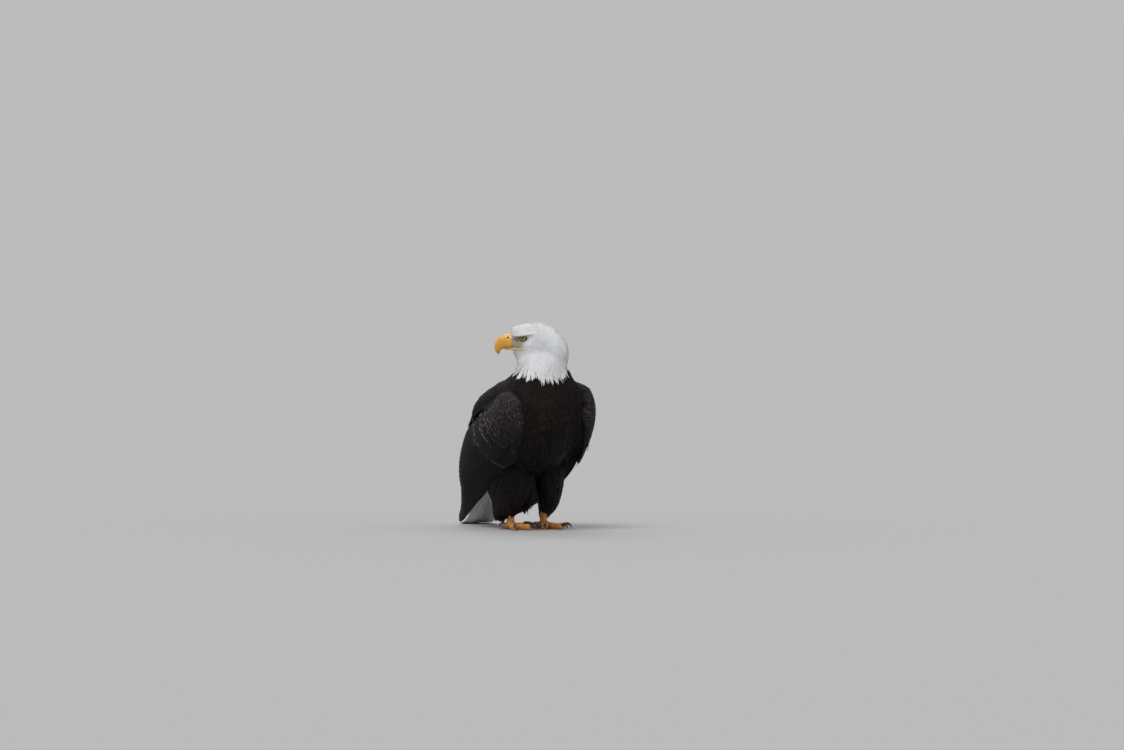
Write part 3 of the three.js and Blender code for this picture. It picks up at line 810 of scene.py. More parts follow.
def noise_at(tree, place, **settings):
    """Noise over a place."""
    return node(tree, "TexNoise", {"Vector": place, **settings}).outputs[0]


def mottled(tree, tint, noise, contrast):
    """A colour made darker and lighter by a noise."""
    shade = ranged(tree, noise, 0.3, 0.7, 1 - contrast, 1 + contrast)
    shaded = node(tree, "VectorMath", {0: tint.outputs["Color"], "Scale": shade}, operation="SCALE")
    return shaded.outputs[0]


def finish_shader(tree, shader, colour, relief, bump, height):
    """Gives a shader its colour and its relief, in metres."""
    raised = node(tree, "Bump", {"Height": relief, "Strength": bump, "Distance": height})
    tree.links.new(colour, shader.inputs["Base Color"])
    tree.links.new(raised.outputs[0], shader.inputs["Normal"])


BARB_LEAN = 0.22
CLUMPS = 34.0  # clumps of barbs along a feather
FINE_BARBS = 110.0
RELIEF = 0.0006  # metres, on feathers
SKIN_RELIEF = 0.0005


def feather_material(name, roughness, contrast, shaft, pale, bump, **settings):
    """Barbs that lean from the shaft in clumps, a shaft line, and a margin as pale as the edge says."""
    made, tree, shader = material(name, roughness, **settings)
    vane = node(tree, "SeparateXYZ", {0: node(tree, "UVMap", uv_map="vane").outputs[0]})
    side = maths(tree, "ABSOLUTE", maths(tree, "SUBTRACT", times(tree, vane.outputs[0], 2.0), 1.0))
    along = maths(tree, "FRACT", vane.outputs[1])
    number = maths(tree, "FLOOR", vane.outputs[1])
    lean = maths(tree, "SUBTRACT", along, times(tree, side, BARB_LEAN))
    clumps = node(tree, "CombineXYZ", {0: times(tree, lean, CLUMPS), 1: side, 2: times(tree, number, 3.7)})
    barbs = noise_at(tree, clumps.outputs[0], Scale=1.0, Detail=3.0, Roughness=0.6)
    fine = {0: times(tree, lean, FINE_BARBS), 1: times(tree, side, 2.0), 2: number}
    lines = noise_at(tree, node(tree, "CombineXYZ", fine).outputs[0], Scale=1.0, Detail=2.0)
    tint = tint_of(tree)
    colour = mottled(tree, tint, barbs, contrast)
    furthest = maths(tree, "ADD", maths(tree, "MAXIMUM", side, along), times(tree, barbs, 0.12))
    margin = ranged(tree, furthest, 0.92, 1.05, interpolation_type="SMOOTHSTEP")
    colour = mixed(tree, times(tree, margin, tint.outputs["Alpha"]), colour, pale)
    middle = ranged(tree, side, 0.03, 0.09, 1.0, 0.0)
    colour = mixed(tree, times(tree, middle, 0.5), colour, shaft)
    relief = maths(tree, "ADD", lines, times(tree, barbs, 1.5))
    finish_shader(tree, shader, colour, relief, bump, RELIEF)
    return made


def tinted_material(name, roughness, grain, contrast, bump, **settings):
    """Horn or skin: the piece's own colours, mottled finely."""
    made, tree, shader = material(name, roughness, **settings)
    noise = noise_at(tree, node(tree, "TexCoord").outputs["Object"], Scale=grain, Detail=4.0)
    finish_shader(tree, shader, mottled(tree, tint_of(tree), noise, contrast), noise, bump, SKIN_RELIEF)
    return made


WHITE = feather_material("white_feather", 0.85, 0.04, (0.74, 0.73, 0.71, 1), (0.88, 0.88, 0.88, 1), 0.15,
                         Specular_IOR_Level=0.3)
DARK = feather_material("dark_feather", 0.62, 0.3, (0.003, 0.0026, 0.0026, 1), (0.21, 0.19, 0.184, 1), 0.5,
                        Specular_IOR_Level=0.1)
HORN = tinted_material("bill_horn", 0.32, 260, 0.08, 0.12, Coat_Weight=0.25, Subsurface_Weight=0.06)
CLAW = tinted_material("claw_horn", 0.3, 420, 0.25, 0.15, Coat_Weight=0.3)
SCALES = tinted_material("foot_skin", 0.5, 900, 0.16, 0.4, Subsurface_Weight=0.04)
SKIN = tinted_material("skin", 0.75, 500, 0.12, 0.3)
LIDS = tinted_material("lids", 0.45, 1500, 0.2, 0.5)
EYE = tinted_material("eye", 0.05, 1600, 0.1, 0.0, Coat_Weight=0.3, Specular_IOR_Level=0.35)

WHITE_TINT = np.array([0.775, 0.785, 0.80])
BODY_TINT = np.array([0.0066, 0.0049, 0.0045])
WING_TINT = np.array([0.0122, 0.0101, 0.0105])
FLIGHT_TINT = np.array([0.0055, 0.0046, 0.0049])

# ---------- Skin ----------

NECK_MIDDLE = (2, -87)  # in the bird frame, at the height where the white ends
# How high the neck's white ends from the side that the head turns from, -1, to the side that it faces, 1.
WHITE_END = sizes_at([[-1, 430], [-0.88, 419], [-0.65, 404], [-0.2, 399], [0.5, 410], [1, 422]])


def white_edge(points):
    """The height, in the bird frame, down to which the neck is white."""
    out = unit(of_bird(points)[:, :2] - NECK_MIDDLE)
    return WHITE_END(out @ HEAD_FRONT[:2])[:, 0]


def is_white(points, reach=0.0):
    """Whether feathers with roots here, which reach this far down in millimetres, are white."""
    t, _ = near_spine(points)
    z = of_bird(points)[:, 2]
    on_head = z - reach > white_edge(points) + 5 * wobble(points, 30 * MM, 4)
    on_tail = t < 0.15 + 0.015 * wobble(points, 40 * MM, 9)
    return on_head | on_tail


def coat_depth(points):
    """How deep the skin lies under the coat's outer surface, in metres."""
    x, _, z = of_head(points).T
    face = smoothstep(-70, 20, x) * smoothstep(-70, -40, z)
    neck = smoothstep(-150, -60, z)
    return (6 - 2.6 * neck - 2.2 * face) * MM


# The height of the gape along the head, back to its corner below the eye.
GAPE_LINE = sizes_at([[-9, -26.0], [0, -27.8], [10, -28.8], [22, -28.2], [36, -27.4]])
LORE_TINT = 0.92 * np.array([0.37, 0.325, 0.195])
# The colour of the painted shadow that the brow casts on the face before the eye.
BROW_SHADOW_TINT = np.array([0.10, 0.095, 0.085])
FACE_HALF = 6  # how far from the head's middle, in millimetres, its sides begin


def bare_lore(x, z):
    """How bare the face is, from 0 to 1: from the bill back to the eye, and along the gape."""
    wedge = smoothstep(1.25, 0.5, np.hypot((x - 26 + 0.25 * z) / 10, (z + 8) / 10))
    gape = smoothstep(3.2, 1.8, np.abs(z + 0.8 - GAPE_LINE(x)[:, 0])) * smoothstep(-12, -8, x) * (x < 27)
    return np.maximum(wedge, gape)


def lore_and_brow_shadow_colours(tint, points):
    """Greyish yellow between the bill, the eye and the gape, and a painted shadow of the brow before the
    eye.
    """
    x, y, z = of_head(points).T
    under_eye = z + 0.55 * np.maximum(0, 6 - x)
    on_side = np.abs(y) > FACE_HALF
    lore = smoothstep(-7, 13, x + 0.5 * (z + 12)) * smoothstep(-30, -24, z) * smoothstep(3, -3, under_eye)
    lore *= on_side
    # Painted shadow: the face just below the brow, before the eye, is darkened where the brow's shade
    # falls.
    shade = bell(x - 18, 10) * bell(z - 2.5, 3.6) * on_side
    tint = tint + 0.95 * lore[:, None] * (LORE_TINT - tint)
    return tint + 0.9 * shade[:, None] * (BROW_SHADOW_TINT - tint)


PALE_SKIN = [0.72, 0.72, 0.72]
DARK_SKIN = [0.006, 0.0048, 0.0045]
SKIN_REACH = 22  # how far above the feathers' white, in millimetres, the white of the skin ends

skin = plumage(BODY + ARMS, SKIN_VOXEL)
skin.vertices = skin.vertices - skin.normals * coat_depth(skin.vertices)[:, None]
skin.smooth(4)
skin_thing = new_object("skin", skin.vertices, skin.quads)
skin_white = is_white(skin.vertices, SKIN_REACH)[:, None]
set_colours(skin_thing, lore_and_brow_shadow_colours(np.where(skin_white, PALE_SKIN, DARK_SKIN), skin.vertices))
dress(skin_thing, SKIN, "feather_white", *BODY, *ARMS)

# ---------- Head and neck feathers ----------


def from_bill(points):
    """How far places are from the bill's base, from 0 to 1 at the neck's base, and the gap, in millimetres,
    that grows with it and sets the feathers' length."""
    x, _, z = of_head(points).T
    far = np.clip(np.hypot(x - 22, z + 6) / 150, 0, 1)
    return far, 1.1 + 1.85 * far


def head_spacing(points):
    """How far apart feathers stand: closest round the eye and the bill, widest on the neck."""
    far, gap = from_bill(points)
    return (gap - 0.35 * smoothstep(0.75, 0.95, far)) * MM


DARKEST = 0.002
LIGHTEST = 0.92


def tinted(count, tint, spread, points=None, size=60 * MM, blotch=0.0):
    """A colour for each feather, varied at random and in blotches over the body."""
    gain = 1 + spread * rng.normal(0, 1, (count, 1))
    if points is not None:
        gain = gain + blotch * wobble(points, size, 2)[:, None]
    warm = rng.normal(0, spread / 4, (count, 1)) * np.array([1, 0, -1])
    return np.clip(tint * gain * (1 + warm), DARKEST, LIGHTEST)


BILL_BASE = 35  # how far forward in the head frame feathers grow


def bare_face(points):
    """Whether a place is inside the eye's opening, the bare lores and gape, or the bill."""
    x, y, z = of_head(points).T
    eye = ((x - 0.7) / 8.4) ** 2 + ((z + 0.3) / 7.7) ** 2 < 1
    bare = bare_lore(x, z) > rng.uniform(0.3, 1.0, len(x))
    return ((np.abs(y) > 5) & (eye | bare)) | (x > BILL_BASE)


# Near the white's lower end the hackles draw together into pointed locks round the neck.
LOCK_COUNT = 37
LOCK_PLACES = np.arange(LOCK_COUNT) + rng.uniform(-0.25, 0.25, LOCK_COUNT)
LOCKS = np.sort(LOCK_PLACES / LOCK_COUNT * 2 * math.pi)
LOCK_LENGTHS = rng.uniform(-6, 6, LOCK_COUNT)  # how much further than the others each one reaches
LOCK_REACH = 34  # millimetres above the white's end


def lock_pull(points):
    """For each place how far round the neck, in millimetres, its lock's middle is, how far it belongs to
    the lock, from 0 to 1, and the lock's extra length."""
    x, y = (of_bird(points)[:, :2] - NECK_MIDDLE).T
    height = of_bird(points)[:, 2] - white_edge(points)
    gap = (LOCKS[None] - np.arctan2(y, x)[:, None] + math.pi) % (2 * math.pi) - math.pi
    lock = np.abs(gap).argmin(axis=1)
    nearest = np.take_along_axis(gap, lock[:, None], axis=1)[:, 0]
    return nearest * np.hypot(x, y), smoothstep(LOCK_REACH, 12, height), LOCK_LENGTHS[lock]


HEAD_BOTTOM = 380  # the height in the bird frame above which the neck's feathers may start
head_area = on_nodes("head", "neck", "trunk") & (outer_bird[:, 2] > HEAD_BOTTOM)
head_roots = outer.scatter(head_area, head_spacing)
head_roots = head_roots[~bare_face(head_roots)]
_, head_gap = from_bill(head_roots)
head_length = 5 + 9 * (head_gap - 1.1) + 8.5 * np.maximum(head_gap - 1.8, 0) ** 2
head_length = head_length * rng.uniform(0.85, 1.15, len(head_roots))
off_lock, in_lock, further = lock_pull(head_roots)
drawn_out = in_lock * (0.5 - np.minimum(np.abs(off_lock), 8) * 0.09)
head_length = head_length * (1 + drawn_out) + further * in_lock
head_swing = np.degrees(np.arctan2(off_lock, head_length * 1.25)) * in_lock
white = is_white(head_roots, 0.72 * head_length - (8 + further) * in_lock)

# Each piece's range of gaps, in millimetres, its rows of points, and its feathers' width as a share of
# their length, outline and columns of points.
for name, low, high, rows, width, outline, columns in (
    ("face_feathers", 0, 1.75, 5, 0.15, "down", 3),
    ("nape_feathers", 1.75, 2.4, 7, 0.10, "hackle", 3),
    ("neck_hackles", 2.4, 9, 9, 0.052, "hackle", 5),
):
    coat = Coat()
    picked = np.flatnonzero(white & (head_gap >= low) & (head_gap < high))
    roots = head_roots[picked]
    length = head_length[picked] * MM
    depth = coat_depth(roots) * 0.5
    lift = (0.2 + 1.0 * in_lock[picked] + rng.uniform(0, 0.5, len(picked))) * MM
    shafts, normals = laid(outer, roots, length, rows, 6, depth, lift, 0, head_swing[picked])
    tint = lore_and_brow_shadow_colours(tinted(len(picked), WHITE_TINT, 0.055, roots, 30 * MM, 0.04), roots)
    coat.add(shafts, normals, length * width, outline, tint, body_bake(roots), columns, 0.2, 0.25, 0.4,
             ragged=0.1)
    coat.piece(name, WHITE, "feather_white")

# ---------- Body feathers ----------


def body_spacing(points):
    """How far apart feathers stand: closer at the neck's base and on the wrists than on the breast."""
    gap = 7.4 - 3.0 * smoothstep(320, 400, of_bird(points)[:, 2])
    return gap * (1 - 0.35 * on_wrist(points)) * MM


def evenly(gap):
    """A spacing that is the same everywhere, for a gap in millimetres."""
    return lambda points: np.full(len(points), gap * MM)


def on_wrist(points):
    """How near a place is to the front of a folded wing, from 0 to 1."""
    x, y, z = of_bird(points).T
    return bell(np.abs(x) - 112, 32) * bell(y + 102, 38) * smoothstep(310, 345, z)


def warm_breast_highlight(points):
    """A warmer brown with a painted highlight on the middle of the upper breast, as gains of red, green and
    blue.
    """
    x, y, z = of_bird(points).T
    share = bell(x + 20, 55) * bell(z - 345, 45) * (y < -60)
    return 1 + share[:, None] * np.array([0.9, 0.5, 0.3])


HOVER = 13 * MM  # the furthest that a body feather's tip may be from the CAD's surfaces
LANCE = {"outline": "lance", "camber": 0.25, "fray": 0.3, "ragged": 0.1}  # the body feathers' shape


def add_body(coat, surface, roots, length, share, rows, tint, edge, bake, **shape):
    """Pointed body feathers on a surface; share is their half-width for their length."""
    shafts, normals = laid(surface, roots, length, rows, **shape)
    _, hover = nearest_nodes(shafts[:, -1], EVERYTHING)
    flat = lying_flat(shafts, normals, length) & (hover < HOVER)
    edge = np.broadcast_to(edge, len(roots))
    coat.add(shafts[flat], normals[flat], (length * share)[flat], tint=tint[flat], bake=bake[flat],
             edge=edge[flat], **LANCE)


def mantle(points, normals):
    """Whether a place is on the back or the shoulders, between the wings' upper edges."""
    x, y, z = of_bird(points).T
    up_and_back = normals @ np.array([0, 0.75, 0.66])
    return (np.abs(x) < 112) & (up_and_back > 0.05) & (z > 140) & (y > -140)


BODY_GAP = 9 * MM  # how far from the body's own CAD nodes the cape still carries body feathers
WIDEST_BRIDGE = 17 * MM  # and how far from any, where it bridges the gap to a wing


def on_cape(*names):
    """Which quads of the cape belong to these CAD nodes."""
    return np.isin(cape_owner, [EVERYTHING.index(name) for name in names])


BELLY_TOP = 212  # below this height, in millimetres, the body's feathers lie on the outer surface
cape_x, cape_y, cape_z = of_bird(cape.middles()).T
cape_beside = np.abs(cape_x)
cape_along, _ = near_spine(cape.middles())
cape_normals = cape.normals[cape.quads[:, 0]]
bridging = (cape_gap > 3.5 * MM) & (cape_gap < WIDEST_BRIDGE) & (cape_along > 0.33)
shoulder_top = (cape_normals[:, 2] > 0.3) & (cape_z > 335) & (cape_y < 20)
upper = (on_cape("trunk", "neck") & (cape_gap < BODY_GAP)) | bridging | shoulder_top
upper &= (cape_z > 205) & (cape_beside < 132)
upper &= (cape_beside < 80) | (cape_y < 112)
cape_roots = cape.scatter(upper, body_spacing)
belly_roots = outer.scatter(on_nodes("trunk") & (outer_bird[:, 2] < BELLY_TOP), body_spacing)

for name, surface, roots in (("body_feathers", cape, cape_roots), ("belly_feathers", outer, belly_roots)):
    ahead = (of_bird(roots)[:, :2] - NECK_MIDDLE) @ HEAD_FRONT[:2]
    roots = roots[~is_white(roots, 8 + 8 * smoothstep(-10, 40, ahead))]
    _, root_normals, _ = surface.nearest(roots)
    on_back = mantle(roots, root_normals)
    gap = body_spacing(roots) / MM
    length = (5.4 * gap - 3 + 7 * on_back) * rng.uniform(0.85, 1.15, len(gap)) * MM
    x, y, z = of_bird(roots).T
    between_legs = smoothstep(55, 35, np.abs(x)) * smoothstep(210, 180, z) * (y < 90)
    length = length * (1 + 1.1 * between_legs) * (1 - 0.2 * on_wrist(roots))
    white_end = white_edge(roots)
    sunk = smoothstep(white_end - 28, white_end - 6, z)  # under the hackles' tips
    tint = tinted(len(roots), BODY_TINT, 0.15, roots, 70 * MM, 0.15)
    # The upper breast's warm patch is partly a warmer brown and partly a painted highlight.
    tint = tint * warm_breast_highlight(roots) * (1 + 0.2 * on_back[:, None])
    edge = rng.uniform(0, 0.1, len(roots)) * (1 + on_back)
    body = Coat()
    add_body(body, surface, roots, length, 0.21 + 0.02 * on_back, 9, tint, edge, body_bake(roots), turn=7,
             depth=(4 + 2 * sunk) * MM, lift=(1 - 1.3 * sunk) * MM, stiff=0.15 + 0.6 * between_legs)
    body.piece(name, DARK, "feather_dark")

# Longer feathers that cover the step from the back to each folded wing.
scapulars = Coat()
SHOULDER_TINT = (BODY_TINT + WING_TINT) / 2
SHOULDER_END = 248  # the lowest, in the bird frame, that these feathers reach
on_shoulder = (cape_beside > 58) & (cape_beside < 122) & (cape_z > SHOULDER_END) & (cape_z < 385)
on_shoulder &= (cape_y > -45) & (cape_normals @ np.array([0, 0.6, 0.8]) > 0.1) & (cape_gap < WIDEST_BRIDGE)
roots = cape.scatter(on_shoulder, evenly(9))
x, y, _ = of_bird(roots).T
further_back = smoothstep(-90, 60, y)
length = (32 + 20 * further_back) * rng.uniform(0.88, 1.12, len(roots)) * MM
splay = np.sign(x) * 8 * smoothstep(50, 100, np.abs(x))
shafts, normals = laid(cape, roots, length, 12, turn=5, depth=3 * MM, lift=1.5 * MM,
                       stiff=0.25 + 0.3 * further_back, swing=splay)
_, tip_y, tip_z = of_bird(shafts[:, -1]).T
flat = lying_flat(shafts, normals, length, 0.9) & (tip_y < 110) & (tip_z > SHOULDER_END)
tint = tinted(flat.sum(), SHOULDER_TINT, 0.15, roots[flat], 70 * MM, 0.15)
scapulars.add(shafts[flat], normals[flat], 0.19 * length[flat], "covert", tint, body_bake(roots[flat]), 7,
              0.25, 0.15, rng.uniform(0, 0.25, flat.sum()), quill=0.35 * MM, ragged=0.03)
scapulars.piece("shoulder_feathers", DARK, "feather_dark")

thighs = Coat()
for name, side in SIDES.items():
    roots = outer.scatter(on_nodes(f"thigh_{name}"), evenly(6.2))
    count = len(roots)
    x, _, z = of_bird(roots).T
    low = smoothstep(120, 60, z)
    inner = smoothstep(70, 35, side * x) * (side < 0)
    length = (34 + (12 + 22 * inner) * low) * rng.uniform(0.85, 1.15, count) * MM
    tint = tinted(count, BODY_TINT, 0.18, roots, 60 * MM, 0.15)
    edge = rng.uniform(0, 0.12, count) + 0.2 * low * rng.random(count)
    add_body(thighs, outer, roots, length, 0.15, 9, tint, edge, thigh_bake(roots, side), turn=7,
             depth=4 * MM, lift=1.2 * MM, stiff=(0.75 + 0.21 * inner) * low)
thighs.piece("thigh_feathers", DARK, "feather_dark")

# Loose feathers that hang between the legs.
vent = Coat()
x, y, z = outer_bird.T
under = on_nodes("trunk") & (outer_normals[:, 2] < -0.15) & (y > -10)
under |= on_nodes("thigh_right") & (outer_normals[:, 0] > 0.45) & (z > 75)
under &= (x > -58) & (x < 34) & (y < 70) & (z < 175)
roots = outer.scatter(under, evenly(5.5))
count = len(roots)
x, y, z = of_bird(roots).T
to_gap = 0.895 * x - 0.446 * y  # towards the gap before the left leg
tip_height = 40 + 46 * smoothstep(-6, 20, to_gap) + 55 * smoothstep(0, 60, y) + rng.uniform(0, 16, count)
length = np.clip(z - tip_height, 20, 105)
aside, onward = 0.1 * rng.normal(0, 1, (2, count))
hang = unit(np.stack([aside - 0.002 * x, onward, -np.ones(count)], axis=-1))
t = np.linspace(-0.12, 1, 9)[None, :, None]
shafts = roots[:, None] + (hang * length[:, None])[:, None] * t * MM
facing = unit(np.stack([0.5 * rng.normal(0, 1, count), -np.ones(count), np.zeros(count)], axis=-1))
tint = tinted(count, BODY_TINT, 0.15)
vent.add(shafts, np.broadcast_to(facing[:, None], shafts.shape), 0.08 * (length + 25) * MM, tint=tint,
         bake=body_bake(roots), edge=rng.uniform(0, 0.2, count), **LANCE)
vent.piece("vent_feathers", DARK, "feather_dark")

rump = Coat()
on_rump = on_cape("tail_coverts", "trunk") & (cape_along < 0.17) & (cape_beside < 75)
roots = cape.scatter(on_rump & (cape_gap < 12 * MM), evenly(6))
roots = roots[is_white(roots)]
low = smoothstep(190, 110, of_bird(roots)[:, 2])
length = (38 + 34 * low) * rng.uniform(0.85, 1.15, len(roots)) * MM
tint = tinted(len(roots), WHITE_TINT * 0.93, 0.05)
add_body(rump, cape, roots, length, 0.18, 10, tint, 0.3, body_bake(roots), turn=6, depth=4 * MM,
         lift=1.2 * MM, stiff=0.3)
rump.piece("tail_covert_feathers", WHITE, "feather_white")

# ---------- Wings ----------

# The folded wing from wrist to tip in the bird frame: the places (y, z) of its lower and upper edge, how
# far out its middle lies, how far those edges are tucked in, and its thickness.
WING = sizes_at(
    [
        [0.0, -151, 318, -151, 332, 86, 0, 0, 12],
        [0.04, -150, 302, -145, 352, 102, 18, 8, 20],
        [0.1, -146, 274, -126, 368, 120, 36, 20, 24],
        [0.2, -133, 237, -88, 371, 131, 46, 30, 25],
        [0.34, -102, 191, -25, 356, 138, 53, 38, 22],
        [0.5, -50, 147, 50, 330, 142, 56, 44, 16],
        [0.64, 15, 111, 112, 290, 140, 54, 38, 12],
        [0.78, 98, 71, 176, 226, 127, 44, 24, 9],
        [0.9, 192, 35, 232, 124, 90, 20, 7, 7],
        [1.0, 281, 7, 287, 15, 55, 0, 0, 4],
    ]
)
WING_LOOSE = 0.4  # how far the left wing's edges hang open, as a share of their tuck
WING_LIFT = 58  # how much higher the left shoulder is
RIGHT_TIP_OUT = 10  # how much further out the right wing's far part is held


def wing_middle(u, v, side):
    """The wing's middle surface; u runs from wrist to tip, v from the lower edge up."""
    low_y, low_z, high_y, high_z, out, low, high, _ = np.moveaxis(WING(u), -1, 0)
    off = 2 * v - 1
    looseness = WING_LOOSE if side > 0 else 0
    shoulder = looseness * np.maximum(0, 1 - 2.5 * u)
    tuck = np.where(off < 0, low * (1 - looseness), high * (1 - shoulder)) * off * off
    out = out + RIGHT_TIP_OUT * smoothstep(0.72, 0.92, u) * (side < 0)
    y = low_y + (high_y - low_y) * v
    z = low_z + (high_z - low_z) * v + WING_LIFT * shoulder * v
    return in_bird(np.stack([side * (out - tuck), y, z], axis=-1))


def wing_place(u, v, side):
    """A place on the wing: the point, the outward normal, the rates along u and v, half the thickness."""
    step = 0.01
    u0 = np.clip(u, step, 1 - step)
    v0 = np.clip(v, step, 1 - step)
    along_u = (wing_middle(u0 + step, v0, side) - wing_middle(u0 - step, v0, side)) / (2 * step)
    along_v = (wing_middle(u0, v0 + step, side) - wing_middle(u0, v0 - step, side)) / (2 * step)
    out = unit(np.cross(along_v, along_u))
    out = out * np.sign(out[..., :1] * side)
    half = WING(u)[..., -1] * np.sqrt(np.clip(v * (1 - v), 0, None)) * MM
    return wing_middle(u, v, side), out, along_u, along_v, half


def on_wing(side, u, v, length, slant, rows, layer, sink=0.0, lift=0.0):
    """Shafts along the wing. Slant turns them towards its upper edge, in degrees; layer is -1 on the inner
    face and 1 on the outer; sink and lift are how deep the root lies and how high the tip stands."""
    u = np.array(u, float)
    v = np.array(v, float)
    slant = np.radians(np.broadcast_to(slant, u.shape))
    shafts = []
    normals = []
    for k in range(rows):
        t = k / (rows - 1)
        point, out, along_u, along_v, half = wing_place(u, v, side)
        height = layer * half + lift * t - sink * (1 - t) ** 1.5
        shafts.append(point + out * np.reshape(height, (-1, 1)))
        normals.append(out)
        step = length / (rows - 1)
        u = np.minimum(u + step * np.cos(slant) / np.linalg.norm(along_u, axis=-1), 0.998)
        v = np.clip(v + step * np.sin(slant) / np.linalg.norm(along_v, axis=-1), 0.0, 1.0)
    return np.stack(shafts, axis=1), np.stack(normals, axis=1)


# Rows of coverts from the greater ones up to the wrist: place of the roots along the wing, the lower and
# upper end of the row across it, how many, length, half-width in mm, slant, and how pale their edges are.
COVERT_ROWS = [
    (0.335, 0.17, 0.98, 17, 92, 15, 9, 0.6),
    (0.285, 0.16, 0.98, 18, 62, 12.5, 8, 0.9),
    (0.245, 0.14, 0.98, 19, 50, 11, 7, 0.9),
    (0.21, 0.12, 0.97, 20, 42, 9.5, 6, 0.9),
    (0.178, 0.1, 0.97, 20, 36, 8.5, 5, 0.8),
    (0.15, 0.09, 0.96, 20, 31, 7.6, 4, 0.6),
    (0.124, 0.08, 0.96, 19, 27, 6.8, 2, 0.5),
    (0.1, 0.07, 0.95, 18, 24, 6.2, 0, 0.5),
    (0.079, 0.06, 0.94, 17, 21, 5.6, 0, 0.6),
    (0.06, 0.06, 0.93, 15, 19, 5, 0, 0.8),
    (0.043, 0.06, 0.92, 12, 17, 4.6, 0, 0.9),
    (0.028, 0.08, 0.9, 9, 15, 4.2, 0, 0.9),
    (0.015, 0.15, 0.85, 7, 13, 3.8, 0, 0.9),
]
COVERT_SKEW = 0.17  # how much further along the wing a row starts at its upper end
WING_LENGTH = 540  # from wrist to tip, in millimetres
LEADING_COLUMNS = (0.0, 0.025, 0.055)  # how far across the wing the columns round its leading edge stand
SECONDARIES = 14
PRIMARIES = 10
PRIMARY_COVERTS = 9
PRIMARY_START = 0.42  # how far along the wing the primaries' roots lie
SECONDARY_START = 0.40


def worn(u, v):
    """How pale the coverts' worn edges are: most near the wrist and along the middle of the wing."""
    return 0.12 + np.maximum(smoothstep(0.1, 0.04, u), smoothstep(0.2, 0.48, v) * smoothstep(1.1, 0.8, v))


def wing_chart(name, u, v):
    """Places on a wing's chart."""
    return on_chart(f"wing_{name}", u, v)


def add_flight(coat, name, side, u, v, length, width, slant, layer, tint, edge):
    """Long flight feathers, laid one over the next."""
    shafts, normals = on_wing(side, u, v, length, slant, 26, layer)
    coat.add(shafts, normals, width, "flight", tint, wing_chart(name, u, v), 7, 0.15, 0.06, edge,
             roll=7 * side, lean=0.3 * side, quill=0.7 * MM)


def wing_reach(start, end, v, side):
    """The length of the wing's middle surface from one place along it to another."""
    line = wing_middle(np.linspace(start, end, 24), np.full(24, v), side)
    return np.linalg.norm(np.diff(line, axis=0), axis=1).sum()


